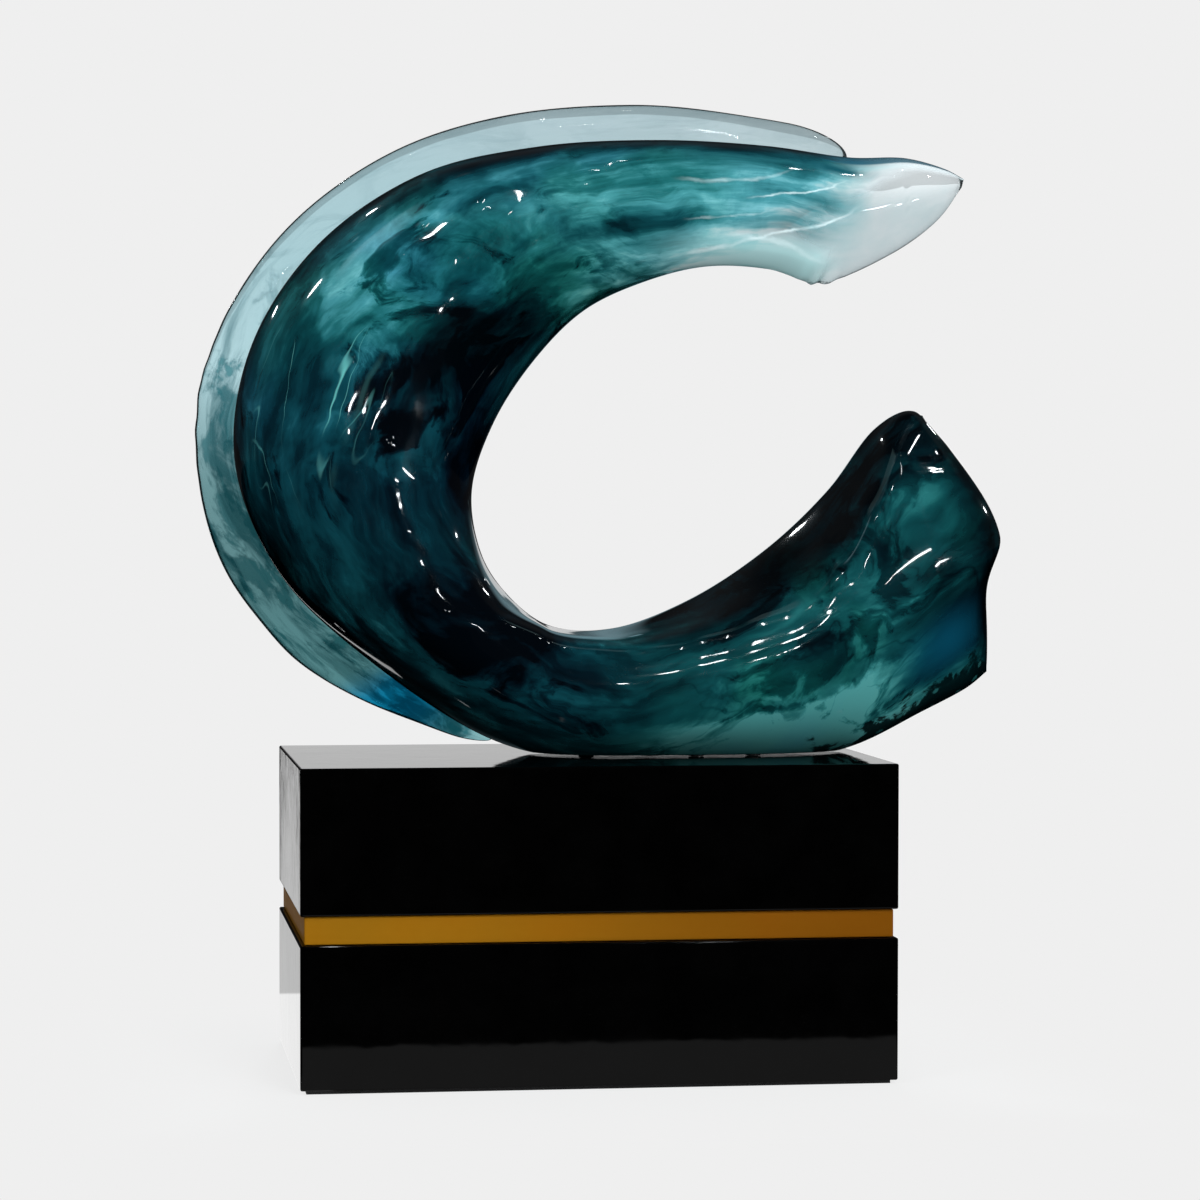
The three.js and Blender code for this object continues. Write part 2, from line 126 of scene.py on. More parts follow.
@dataclass(frozen=True)
class Value:
    """What a node puts out, with the sums and patterns that the finishes make from it."""

    graph: "NodeGraph"
    socket: bpy.types.NodeSocket

    def __add__(self, other: "Value | float") -> "Value":
        """Returns the sum of two numbers."""
        return self.graph.math("ADD", self, other)

    def __sub__(self, other: "Value | float") -> "Value":
        """Returns this number less another."""
        return self.graph.math("SUBTRACT", self, other)

    def __mul__(self, other: "Value | float") -> "Value":
        """Returns the product of two numbers."""
        return self.graph.math("MULTIPLY", self, other)

    def most(self, other: "Value") -> "Value":
        """Returns the larger of two numbers."""
        return self.graph.math("MAXIMUM", self, other)

    def least(self, other: "Value") -> "Value":
        """Returns the smaller of two numbers."""
        return self.graph.math("MINIMUM", self, other)

    def size(self) -> "Value":
        """Returns the number without its sign."""
        return self.graph.math("ABSOLUTE", self)

    def apart(self, other: "Value | float") -> "Value":
        """Returns how far two numbers are apart."""
        return (self - other).size()

    def swing(self, share: float) -> "Value":
        """Returns a share of how far a cloudy number is above or below its middle."""
        return (self - 0.5) * share

    def span(self, low: float, high: float, start: float = 0.0, end: float = 1.0) -> "Value":
        """Returns a number that runs smoothly from start to end while this one runs from low to high."""
        inputs = {"Value": self, "From Min": low, "From Max": high, "To Min": start, "To Max": end}
        return self.graph.value("MapRange", inputs, "Result", interpolation_type="SMOOTHSTEP")

    def fade(self, low: float, high: float, start: float = 1.0) -> "Value":
        """Returns a number that falls smoothly from start to 0 while this one runs from low to high."""
        return self.span(low, high, start, 0.0)

    def between(self, start: float = 0.0, end: float = 1.0) -> "Value":
        """Returns a number that runs from start to end over the usual reach of a cloudy number."""
        return self.span(*CLOUDY_REACH, start, end)

    def band(self, band: Band) -> "Value":
        """Returns how much of a band there is at this place."""
        return self.span(*band.rise) * self.fade(*band.fall, band.top)

    def ridge(self, width: float) -> "Value":
        """Returns thin lines that are 1 where a cloudy number crosses its middle and 0 past the width."""
        return self.apart(0.5).fade(0.0, width)

    def choose(self, first: object, second: object) -> "Value":
        """Returns a number that goes from the first to the second while this one goes from 0 to 1."""
        return self.graph.value("Mix", {0: self, 2: first, 3: second}, data_type="FLOAT")

    def towards(self, share: "Value", colour: object) -> "Value":
        """Returns this colour, mixed with a share of another."""
        return self.graph.mix(share, self, colour)

    def tinted(self, share: "Value", tint: Colour) -> "Value":
        """Returns this colour, multiplied by a share of a tint."""
        return self.graph.mix(share, self, tint, "MULTIPLY")

    def parts(self) -> "tuple[Value, ...]":
        """Returns the three numbers of a vector or a colour."""
        outputs = self.graph.node("SeparateXYZ", {0: self}).outputs
        return tuple(Value(self.graph, output) for output in outputs)

    def stretched(self, scale: Triple, turn: Triple = ZERO, shift: Triple = ZERO) -> "Value":
        """Returns a point that is scaled, turned and shifted."""
        inputs = {"Vector": self, "Scale": scale, "Rotation": turn, "Location": shift}
        return self.graph.value("Mapping", inputs)

    def noise(
        self, scale: float, detail: float = 4.0, rough: float = 0.5, swirl: float = 0.0, output: str = "Fac"
    ) -> "Value":
        """Returns a cloudy number from 0 to 1 at this point, or a cloudy colour."""
        inputs = {"Vector": self, "Scale": scale, "Detail": detail, "Roughness": rough, "Distortion": swirl}
        return self.graph.value("TexNoise", inputs, output)

    def streaks(
        self, scale: Triple, detail: float = 4.0, rough: float = 0.5, swirl: float = 0.0, shift: Triple = ZERO
    ) -> "Value":
        """Returns a cloudy number from 0 to 1 at this point, with a scale for each direction."""
        return self.stretched(scale, shift=shift).noise(1.0, detail, rough, swirl)

    def cells(self, scale: float) -> "tuple[Value, Value]":
        """Returns the distance to the nearest scattered point, and that point's own random colour."""
        outputs = self.graph.node("TexVoronoi", {"Vector": self, "Scale": scale}).outputs
        return Value(self.graph, outputs["Distance"]), Value(self.graph, outputs["Color"])

    def ramp(self, stops: Stops) -> "Value":
        """Returns a colour that runs through stops.

        Args:
            stops: Places along this number with a colour or a grey each, in rising order.

        Returns:
            The colour.
        """
        made = self.graph.node("ValToRGB", {0: self})
        elements = made.color_ramp.elements
        while len(elements) < len(stops):
            elements.new(0.5)
        for element, (place, colour) in zip(elements, stops):
            shade = (colour,) * 3 if isinstance(colour, float) else colour
            element.position = place
            element.color = (*shade, 1.0)
        return Value(self.graph, made.outputs[0])

    def bump(self, distance: float) -> "Value":
        """Returns a normal that follows this height, with the distance in metres."""
        return self.graph.value("Bump", {"Strength": 1.0, "Distance": distance, "Height": self})


@dataclass(frozen=True)
class NodeGraph:
    """A node tree with short calls for the nodes that the finishes use."""

    tree: bpy.types.NodeTree

    @classmethod
    def inside(cls, owner: bpy.types.Material | bpy.types.World) -> "NodeGraph":
        """Returns an empty graph inside a material or a world.

        Args:
            owner: The material or the world.

        Returns:
            The graph.
        """
        owner.use_nodes = True
        owner.node_tree.nodes.clear()
        return cls(owner.node_tree)

    def node(self, kind: str, inputs: Inputs | None = None, **settings: object) -> bpy.types.Node:
        """Makes a node.

        Args:
            kind: The node's type without its prefix.
            inputs: What its inputs get, by name or number.
            **settings: Its properties.

        Returns:
            The new node.
        """
        made = self.tree.nodes.new("ShaderNode" + kind)
        for key, value in settings.items():
            setattr(made, key, value)
        for key, value in (inputs or {}).items():
            self._feed(made.inputs[key], value)
        return made

    def value(
        self, kind: str, inputs: Inputs | None = None, output: str | int = 0, **settings: object
    ) -> Value:
        """Makes a node and returns one of its outputs."""
        return Value(self, self.node(kind, inputs, **settings).outputs[output])

    def _feed(self, socket: bpy.types.NodeSocket, value: object) -> None:
        """Links an input to a value, or sets it.

        Args:
            socket: The input.
            value: A value of this graph, or a plain number, colour or vector.
        """
        if isinstance(value, Value):
            self.tree.links.new(value.socket, socket)
        elif isinstance(value, tuple) and socket.type == "RGBA":
            socket.default_value = (*value, 1.0)
        else:
            socket.default_value = value

    def math(self, operation: str, first: object, second: object = 0.0, clamp: bool = False) -> Value:
        """Returns what an operation makes of two numbers."""
        return self.value("Math", {0: first, 1: second}, operation=operation, use_clamp=clamp)

    def vector_math(self, operation: str, first: object, second: object) -> Value:
        """Returns what an operation makes of two vectors."""
        return self.value("VectorMath", {0: first, 1: second}, operation=operation)

    def mix(self, share: object, first: object, second: object, blend: str = "MIX") -> Value:
        """Returns a mix of two colours."""
        settings = {"data_type": "RGBA", "blend_type": blend, "clamp_factor": True}
        return self.value("Mix", {0: share, 6: first, 7: second}, 2, **settings)

    def point(self) -> Value:
        """Returns the point on the piece, in metres."""
        return self.value("TexCoord", output="Object")

    def attribute(self, pattern: Pattern) -> Value:
        """Returns a named vector attribute of the piece."""
        return self.value("Attribute", output="Vector", attribute_name=pattern.value)

    def ray(self, kind: str) -> Value:
        """Returns a fact about the ray of light that meets the surface."""
        return self.value("LightPath", output=kind)

    def principled(self, **values: object) -> Value:
        """Returns a surface shader; its inputs have underscores for the spaces in their names."""
        return self.value("BsdfPrincipled", {key.replace("_", " "): value for key, value in values.items()})


class Finish(ABC):
    """A finish that makes one material."""

    name: str

    @abstractmethod
    def shader(self, graph: NodeGraph) -> Value:
        """Builds the finish in an empty graph.

        Args:
            graph: The graph.

        Returns:
            The surface shader.
        """

    def material(self) -> bpy.types.Material:
        """Makes a material with this finish.

        Returns:
            The new material.
        """
        made = bpy.data.materials.new(self.name)
        graph = NodeGraph.inside(made)
        graph.node("OutputMaterial", {"Surface": self.shader(graph)})
        return made


@dataclass(frozen=True)
class Place:
    """Where a pattern is on the resin: its flow in metres, slow eddies, and its shares along and across."""

    flow: Value
    drift: Value
    along: Value
    across: Value
    behind: Value

    @classmethod
    def on(cls, graph: NodeGraph, detail: float) -> "Place":
        """Reads the place from the piece.

        Args:
            graph: The finish's graph.
            detail: How fine the eddies are.

        Returns:
            The place.
        """
        flow = graph.attribute(Pattern.FLOW)
        eddies = flow.noise(EDDY_SCALE, detail, output="Color")
        drift = graph.vector_math("SUBTRACT", eddies, HALVES)
        return cls(flow, drift, *graph.attribute(Pattern.PLACE).parts())

    def bent(self, reach: Triple) -> Value:
        """Returns the flow, pushed aside by the eddies."""
        graph = self.flow.graph
        return graph.vector_math("ADD", self.flow, graph.vector_math("MULTIPLY", self.drift, reach))

    def point(self) -> Value:
        """Returns the point on the piece, in metres."""
        return self.flow.graph.point()

    def front(self) -> Value:
        """Returns 1 on the front of the piece and 0 behind."""
        return self.behind.fade(0.2, 0.8)


@dataclass(frozen=True)
class Lane:
    """How light the resin is on one line along the curl, with painted shade and light in the tone: its share
    across, and places with a tone each.
    """

    share: float
    tones: Line


@dataclass(frozen=True)
class Strand:
    """A thread in the resin: where it lies across the curl at places along it, its width and its weight."""

    course: Line
    width: float
    weight: float
    colour: Colour = (0.76, 0.90, 0.92)


@dataclass(frozen=True)
class Wisp:
    """A set of pale threads: its scale, how far it is turned, how wide its threads are, and its weight."""

    scale: Triple
    turn: float
    width: float
    weight: float


@dataclass(frozen=True)
class MarbledResin(Finish):
    """Cast resin: dark teal clouds and pale smears drawn out along the curl, clear towards the tip."""

    name = "marbled_resin"
    palette: Stops = (
        (0.00, (0.0003, 0.0012, 0.0024)),
        (0.15, (0.0006, 0.0055, 0.0095)),
        (0.30, (0.0012, 0.0170, 0.0240)),
        (0.45, (0.0032, 0.0430, 0.0550)),
        (0.60, (0.0130, 0.1000, 0.1180)),
        (0.75, (0.0460, 0.2060, 0.2360)),
        (0.86, (0.1250, 0.3400, 0.3780)),
        (0.94, (0.2800, 0.4400, 0.4650)),
        (1.00, (0.4700, 0.5350, 0.5550)),
    )
    # Tone lanes: the resin's own clouds, with painted shade and light in them. The dark tones of the inner
    # lanes paint the shade on the inner side of the curl and in the hollow behind the lower arm's lip. The
    # lighter tones of the outer lanes along the lower arm partly paint light on its underside.
    lanes_with_painted_shade_and_light: tuple[Lane, ...] = (
        Lane(0.06, (
            (0.00, 0.26), (0.10, 0.10), (0.55, 0.08), (0.62, 0.20), (0.70, 0.58), (0.75, 0.93), (0.80, 1.00),
        )),
        Lane(0.35, (
            (0.00, 0.02), (0.04, 0.12), (0.08, 0.44), (0.13, 0.46), (0.20, 0.37), (0.28, 0.25), (0.37, 0.10),
            (0.47, 0.19), (0.54, 0.28), (0.60, 0.16), (0.66, 0.46), (0.70, 0.60), (0.74, 0.64), (0.81, 0.91),
            (0.87, 1.00),
        )),
        Lane(0.60, (
            (0.00, 0.00), (0.09, 0.08), (0.15, 0.42), (0.22, 0.46), (0.29, 0.24), (0.42, 0.05), (0.50, 0.10),
            (0.56, 0.31), (0.61, 0.42), (0.65, 0.34), (0.70, 0.82), (0.76, 0.57), (0.81, 0.57), (0.87, 0.97),
        )),
        Lane(0.84, (
            (0.00, 0.06), (0.10, 0.46), (0.17, 0.72), (0.22, 0.80), (0.27, 0.62), (0.32, 0.32), (0.46, 0.20),
            (0.53, 0.42), (0.61, 0.55), (0.68, 0.48), (0.74, 0.61), (0.81, 0.36), (0.85, 0.84), (0.90, 1.00),
        )),
        Lane(0.97, (
            (0.00, 0.10), (0.08, 0.48), (0.14, 0.74), (0.23, 0.84), (0.28, 0.62), (0.36, 0.20), (0.42, 0.22),
            (0.50, 0.34), (0.57, 0.34), (0.63, 0.12), (0.80, 0.12), (0.85, 0.40), (0.95, 0.46),
        )),
    )
    strands: tuple[Strand, ...] = (
        Strand(((0.725, 0.09), (0.761, 0.12), (0.790, 0.20), (0.826, 0.34), (0.865, 0.60)), 0.024, 0.60),
        Strand(((0.755, 0.21), (0.784, 0.18), (0.822, 0.14), (0.849, 0.10)), 0.030, 0.45),
        Strand(((0.775, 0.47), (0.818, 0.60), (0.850, 0.79)), 0.014, 0.50),
        Strand(((0.740, 0.64), (0.761, 0.62), (0.784, 0.64), (0.800, 0.70), (0.815, 0.83)), 0.020, 0.24),
        Strand(((0.735, 0.34), (0.760, 0.34), (0.785, 0.37), (0.810, 0.48)), 0.014, 0.30),
        # The last strand draws a dark streak along the fold between the crest's end and the body's top edge.
        Strand(
            ((0.790, 0.94), (0.812, 0.89), (0.830, 0.84), (0.875, 0.82)), 0.075, 1.0, (0.006, 0.065, 0.085)
        ),
    )
    strand_rise: float = 0.02
    strand_fall: float = 0.025
    wisps: tuple[Wisp, ...] = (
        Wisp((4.0, 46.0, 16.0), 0.25, 0.0060, 0.75),
        Wisp((5.0, 60.0, 16.0), -0.12, 0.0050, 0.60),
        Wisp((3.0, 30.0, 16.0), 0.10, 0.0300, 0.16),
    )
    wisps_along: Band = Band((0.47, 0.55), (0.55, 0.60))
    wisps_across: Band = Band((0.45, 0.70), (0.90, 0.95))
    bank_along: Band = Band((0.09, 0.14), (0.24, 0.29))
    strokes_along: Band = Band((0.64, 0.73), (0.80, 0.88), 0.75)
    shoulder_along: Band = Band((0.44, 0.50), (0.53, 0.60), 0.8)
    arch_along: Band = Band((0.60, 0.65), (0.66, 0.74))
    flange_along: Band = Band((0.70, 0.78), (0.83, 0.86), 0.75)
    green_tint: Colour = (0.55, 1.0, 0.74)
    blue_tint: Colour = (0.55, 0.72, 1.0)
    shoulder_tint: Colour = (0.90, 0.90, 1.0)
    arm_tint: Colour = (0.92, 1.0, 0.87)
    arch_tint: Colour = (0.95, 1.0, 0.90)
    flange_colour: Colour = (0.42, 0.74, 0.75)
    frost_colour: Colour = (0.78, 0.83, 0.85)
    wisp_colour: Colour = (0.13, 0.46, 0.44)
    pool_colour: Colour = (0.0015, 0.052, 0.092)
    ink_and_contact_shade_colour: Colour = (0.0006, 0.0060, 0.0075)
    bubble_colour: Colour = (0.03, 0.17, 0.17)
    strip_colour: Colour = (0.008, 0.085, 0.130)

    def shader(self, graph: NodeGraph) -> Value:
        """Builds the marbled resin.

        Args:
            graph: The graph.

        Returns:
            The surface shader.
        """
        at = Place.on(graph, 4.0)
        bent = at.bent((0.10, 0.06, 0.05))
        threads = self._threads(at)
        clear = self._clear(at, bent)
        for thread in threads:
            clear = clear * thread.span(0.0, 1.0, 1.0, 0.1)
        tone = self._strokes(at, self._clouds(at, bent, clear, self._tone(at)))
        tone = tone.least(at.along.span(0.50, 0.76, 0.77, 1.0))
        colour = self._tints(at, bent, clear, tone)
        for strand, thread in zip(self.strands, threads):
            colour = colour.towards(thread, strand.colour)
        return graph.principled(
            Base_Color=self._strip(at, self._ink(at, self._wisps(at, colour))),
            Roughness=at.flow.noise(60.0).between(0.02, 0.05),
            IOR=1.45,
            Transmission_Weight=clear * 0.96,
            Coat_Weight=clear.fade(0.0, 0.4, 0.06),
            Coat_Roughness=0.15,
            Normal=self._dimples(at, clear),
        )

    def _clear(self, at: Place, bent: Value) -> Value:
        """Works out how clear the resin is: at the tip, in long fingers, and first on the inside of the curl.

        Args:
            at: The place on the resin.
            bent: Its flow, pushed aside by the eddies.

        Returns:
            A number from 0 where it is dense to 1 where it is clear.
        """
        fingers = bent.streaks((6.0, 48.0, 30.0), shift=(0.9, 5.3, 2.2))
        reach = at.along + fingers.swing(0.12) - at.across * 0.09
        flange = at.across.span(0.10, 0.30).most(at.along.span(0.825, 0.855))
        return reach.span(0.750, 0.825) * at.across.span(0.80, 0.935, 1.0, 0.15) * flange

    def _threads(self, at: Place) -> list[Value]:
        """Works out how much of each strand there is on the front, broken up along its length.

        Args:
            at: The place on the resin.

        Returns:
            A number for each strand.
        """
        _, over, _ = at.drift.parts()
        frayed = at.flow.streaks((70.0, 150.0, 60.0), 5.0, 0.6)
        swayed = at.across + over * 0.10 + frayed.swing(0.07)
        broken = at.flow.streaks((60.0, 30.0, 20.0), 3.0).span(0.36, 0.58, 0.35, 1.0)
        front = at.front() * broken
        threads = []
        for strand in self.strands:
            first, last = strand.course[0][0], strand.course[-1][0]
            ends = Band((first, first + self.strand_rise), (last - self.strand_fall, last), strand.weight)
            gap = swayed.apart(at.along.ramp(strand.course))
            threads.append(gap.fade(0.0, strand.width) * at.along.band(ends) * front)
        return threads

    def _tone(self, at: Place) -> Value:
        """Reads the broad tone from the lanes, with the painted shade and light in them, and blends it across
        them; it also adds a painted highlight near the lower arm's end.

        Args:
            at: The place on the resin.

        Returns:
            A place on the palette.
        """
        aside, over, _ = at.drift.parts()
        there = at.along + aside * 0.05
        lane_at = at.across + over * 0.30
        tone = there.ramp(self.lanes_with_painted_shade_and_light[0].tones)
        for before, lane in zip(self.lanes_with_painted_shade_and_light, self.lanes_with_painted_shade_and_light[1:]):
            place = at.across if lane is self.lanes_with_painted_shade_and_light[-1] else lane_at
            tone = tone.towards(place.span(before.share, lane.share), there.ramp(lane.tones))
        shore = at.across + at.point().noise(26.0, 8.0, 0.62, 0.5).swing(0.30)
        bank = shore.span(0.69, 0.73) * at.along.band(self.bank_along) * 0.22
        # Painted highlight: a soft light patch on the lower arm near its end.
        glow = there.apart(0.105).fade(0.0, 0.055, 0.30) * lane_at.apart(0.22).fade(0.0, 0.13)
        return tone + bank + glow

    def _clouds(self, at: Place, bent: Value, clear: Value, tone: Value) -> Value:
        """Adds smears, clouds, pale veils, dark blots and stains to the tone.

        Args:
            at: The place on the resin.
            bent: Its flow, pushed aside by the eddies.
            clear: How clear the resin is.
            tone: The broad tone.

        Returns:
            The clouded tone.
        """
        loud = clear.span(0.0, 1.0, 1.0, 0.2) * at.along.span(0.68, 0.76, 1.0, 0.55)
        loud = loud * at.along.span(0.24, 0.34, 0.72, 1.0)
        smears = bent.streaks((8.0, 34.0, 26.0), 8.0, 0.62, 0.25)
        clouds = bent.streaks((24.0, 36.0, 30.0), 8.0, 0.58, 0.6)
        broad = bent.streaks((6.0, 15.0, 12.0), 3.0)
        grain = bent.streaks((60.0, 120.0, 100.0), 6.0, 0.6)
        for cloud, share in ((smears, 1.05), (clouds, 0.80), (broad, 0.75), (grain, 0.22)):
            tone = tone + cloud.swing(share) * loud
        veil = bent.streaks((11.0, 46.0, 30.0), 5.0, 0.6, shift=(3.1, 1.7, 0.4))
        tone = tone + veil.span(0.58, 0.76) * loud * 0.22
        blot = bent.streaks((15.0, 26.0, 22.0), 9.0, 0.62, 0.8, (7.7, 0.3, 5.2))
        tone = tone - blot.span(0.55, 0.63) * loud * at.along.span(0.64, 0.70, 0.30, 0.10)
        stain = bent.streaks((15.0, 20.0, 18.0), 4.0, 0.5, 0.3, (2.4, 8.1, 6.6))
        rim = stain.ridge(0.014) * at.along.fade(0.22, 0.30, 0.10)
        return tone + (stain.span(0.50, 0.56) * 0.10 - rim) * loud

    def _strokes(self, at: Place, tone: Value) -> Value:
        """Adds long brush-like strokes where the teal runs out into the clear tip.

        Args:
            at: The place on the resin.
            tone: The tone so far.

        Returns:
            The tone with the strokes.
        """
        drawn = at.bent((0.05, 0.016, 0.012)).stretched((6.0, 120.0, 50.0), (0.0, 0.0, 0.10))
        strokes = drawn.noise(1.0, 6.0, 0.62, 0.1)
        return tone + (strokes - 0.5) * at.along.band(self.strokes_along)

    def _tints(self, at: Place, bent: Value, clear: Value, tone: Value) -> Value:
        """Turns the tone into a colour, with green and blue drifts and the tints of the curl's stretches.

        Args:
            at: The place on the resin.
            bent: Its flow, pushed aside by the eddies.
            clear: How clear the resin is.
            tone: The place on the palette.

        Returns:
            The colour.
        """
        dense = clear.fade(0.0, 0.7, 0.5)
        shoulder = at.along.band(self.shoulder_along)
        green = bent.noise(12.0).span(0.50, 0.66) * dense * tone.span(0.45, 0.75, 1.3, 0.4)
        blue = bent.streaks((9.0, 13.0, 11.0), shift=(4.0, 2.0, 7.0)).span(0.55, 0.70) * dense
        colour = tone.ramp(self.palette)
        colour = colour.tinted(green * shoulder.span(0.0, 1.0, 1.0, 0.45), self.green_tint)
        colour = colour.tinted(shoulder, self.shoulder_tint)
        colour = colour.tinted(at.along.fade(0.26, 0.34), self.arm_tint)
        colour = colour.tinted(at.along.band(self.arch_along), self.arch_tint)
        colour = colour.tinted(blue, self.blue_tint)
        flange = at.along.band(self.flange_along) * at.across.fade(0.10, 0.30)
        frost = at.along.span(0.83, 0.91) * at.across.span(0.45, 0.70, 0.0, 0.85)
        return colour.towards(flange, self.flange_colour).towards(frost, self.frost_colour)

    def _wisps(self, at: Place, colour: Value) -> Value:
        """Adds thin pale threads on the shoulder of the curl, which fade out along their length.

        Args:
            at: The place on the resin.
            colour: The colour so far.

        Returns:
            The colour with the wisps.
        """
        bent = at.bent((0.06, 0.035, 0.02))
        here = at.flow.noise(22.0, 2.0).span(0.45, 0.60)
        here = here * at.along.band(self.wisps_along) * at.across.band(self.wisps_across)
        for wisp in self.wisps:
            turned = bent.stretched((1.0, 1.0, 1.0), (0.0, 0.0, wisp.turn))
            threads = turned.streaks(wisp.scale, 1.0).ridge(wisp.width)
            colour = colour.towards(threads * here * wisp.weight, self.wisp_colour)
        return colour

    def _ink(self, at: Place, colour: Value) -> Value:
        """Adds a blue pool, and a ragged dark fringe with bubbles along the bottom edge near the lower arm's
        end, which is partly ink and partly painted shade where the arm sits over the plinth.

        Args:
            at: The place on the resin.
            colour: The colour so far.

        Returns:
            The colour with the ink and the painted shade.
        """
        pool = at.along.apart(0.085).fade(0.0, 0.06) * at.across.apart(0.77).fade(0.0, 0.16) * 0.75
        point = at.point()
        ragged = point.noise(48.0, 8.0, 0.66, 0.6).swing(0.46)
        shore = at.across + ragged - at.along.span(0.12, 0.24, 0.0, 0.07)
        # Painted shade: the dark fringe along the bottom edge is partly ink and partly the shade where the
        # lower arm sits over the plinth.
        ink_and_contact_shade = shore.span(0.91, 0.95) * at.along.fade(0.22, 0.30, 0.94)
        distance, own = point.cells(120.0)
        bubble = distance.fade(0.20, 0.32) * own.parts()[0].span(0.6, 0.7)
        colour = colour.towards(pool, self.pool_colour).towards(ink_and_contact_shade, self.ink_and_contact_shade_colour)
        return colour.towards(bubble * ink_and_contact_shade * 0.5, self.bubble_colour)

    def _strip(self, at: Place, colour: Value) -> Value:
        """Adds the dark blue strip along the top edge of the tip.

        Args:
            at: The place on the resin.
            colour: The colour so far.

        Returns:
            The colour with the strip.
        """
        edge = at.across + at.along.span(0.84, 0.98, 0.0, -0.03)
        strip = edge.span(0.905, 0.925) * at.along.span(0.82, 0.85) * at.front()
        return colour.towards(strip * 0.9, self.strip_colour)

    def _dimples(self, at: Place, clear: Value) -> Value:
        """Raises sparse small swellings, longer along the curl than across it.

        Args:
            at: The place on the resin.
            clear: How clear the resin is.

        Returns:
            The normal.
        """
        distance, own = at.flow.stretched((46.0, 84.0, 84.0)).cells(1.0)
        chosen = own.parts()[0].span(0.50, 0.51) * clear.span(0.1, 0.4, 1.0, 0.15)
        chosen = chosen * at.along.span(0.25, 0.35, 0.2, 1.0)
        return (distance.fade(0.0, 0.26) * chosen).bump(0.4 * MM)


@dataclass(frozen=True)
class ClearResin(Finish):
    """Clear resin with a grey-blue tint, and teal smoke that thickens towards its lower end."""

    name = "clear_resin"
    tints: Stops = (
        (0.350, (0.20, 0.38, 0.40)),
        (0.364, (0.12, 0.32, 0.36)),
        (0.376, (0.006, 0.21, 0.36)),
        (0.390, (0.003, 0.18, 0.32)),
        (0.400, (0.075, 0.20, 0.21)),
        (0.445, (0.075, 0.18, 0.19)),
        (0.490, (0.125, 0.25, 0.265)),
        (0.540, (0.38, 0.56, 0.60)),
        (0.590, (0.33, 0.50, 0.54)),
        (0.700, (0.36, 0.48, 0.515)),
        (0.850, (0.41, 0.50, 0.525)),
    )
    smoke: Colour = (0.06, 0.25, 0.28)
    # The pale and the deep teal of the painted haze that stands in for the lit body behind the crest.
    pale: Colour = (0.16, 0.38, 0.42)
    deep: Colour = (0.03, 0.17, 0.21)

    def shader(self, graph: NodeGraph) -> Value:
        """Builds the clear resin, with a painted teal haze where it lies behind the body, which stands in for
        the lit body seen through it.

        Args:
            graph: The graph.

        Returns:
            The surface shader.
        """
        at = Place.on(graph, 3.0)
        bent = at.bent((0.08, 0.03, 0.03))
        tint = (at.along + at.drift.parts()[0] * 0.04).ramp(self.tints)
        plumes = bent.streaks((12.0, 90.0, 34.0), 7.0, 0.62, 0.6)
        clouds = bent.streaks((34.0, 44.0, 38.0), 8.0, 0.62, 0.6)
        low = at.along.fade(0.50, 0.66)
        streaks = plumes.span(0.50, 0.66) * low.span(0.0, 1.0, 0.22, 0.75)
        puffs = clouds.span(0.48, 0.60) * low.span(0.0, 1.0, 0.12, 0.95)
        amount = graph.math("ADD", streaks, puffs, clamp=True)
        # Painted light: where the crest lies behind the body, its colour turns to a teal haze that stands in
        # for the lit body seen through it, and it lets less light through.
        backed = at.flow.parts()[1].fade(-0.012, -0.001) * at.along.fade(0.76, 0.82)
        haze = graph.mix(plumes.span(0.40, 0.64), self.pale, self.deep)
        return graph.principled(
            Base_Color=tint.tinted(amount, self.smoke).towards(backed * 0.85, haze),
            Roughness=plumes.between(0.03, 0.09),
            IOR=1.17,
            Transmission_Weight=amount.span(0.0, 1.0, 0.95, 0.75) * backed.span(0.0, 1.0, 1.0, 0.45),
            Normal=at.flow.streaks((12.0, 30.0, 30.0), 2.0).bump(2 * MM),
        )


@dataclass(frozen=True)
class BlackLacquer(Finish):
    """Deep black lacquer, polished, with the faintest waviness."""

    name = "black_lacquer"
    deep: Colour = (0.0003, 0.0003, 0.0003)
    bloom: Colour = (0.0007, 0.0007, 0.0007)
    speck: Colour = (0.03, 0.03, 0.03)

    def shader(self, graph: NodeGraph) -> Value:
        """Builds the lacquer.

        Args:
            graph: The graph.

        Returns:
            The surface shader.
        """
        point = graph.point()
        haze = point.noise(40.0, 6.0, 0.6)
        specks = point.cells(260.0)[0].fade(0.04, 0.10)
        return graph.principled(
            Base_Color=graph.mix(haze.between(), self.deep, self.bloom).towards(specks * 0.05, self.speck),
            Roughness=haze.between(0.03, 0.06),
            IOR=1.25,
            Normal=point.noise(55.0, 2.0).bump(0.06 * MM),
        )


@dataclass(frozen=True)
class PolishedGold(Finish):
    """Gold-coloured metal, drawn along its length, with painted shade that darkens it towards its right end.
    """

    name = "polished_gold"
    deep: Colour = (0.54, 0.215, 0.004)
    bright: Colour = (0.64, 0.28, 0.010)
    # The tint of the painted shade towards the right end.
    shade: Colour = (0.62, 0.48, 0.40)

    def shader(self, graph: NodeGraph) -> Value:
        """Builds the gold.

        Args:
            graph: The graph.

        Returns:
            The surface shader.
        """
        point = graph.point()
        drawn = point.streaks((6.0, 6.0, 260.0), 3.0)
        stain = point.noise(14.0, 5.0, 0.6)
        colour = graph.mix(stain.between(), self.deep, self.bright)
        return graph.principled(
            # Painted shade: the colour darkens towards the right end, away from the light.
            Base_Color=colour.tinted(point.parts()[0].span(-0.13, 0.14), self.shade),
            Metallic=stain.between(0.62, 0.72),
            Roughness=drawn.between(0.30, 0.36),
            Normal=drawn.bump(0.004 * MM),
        )


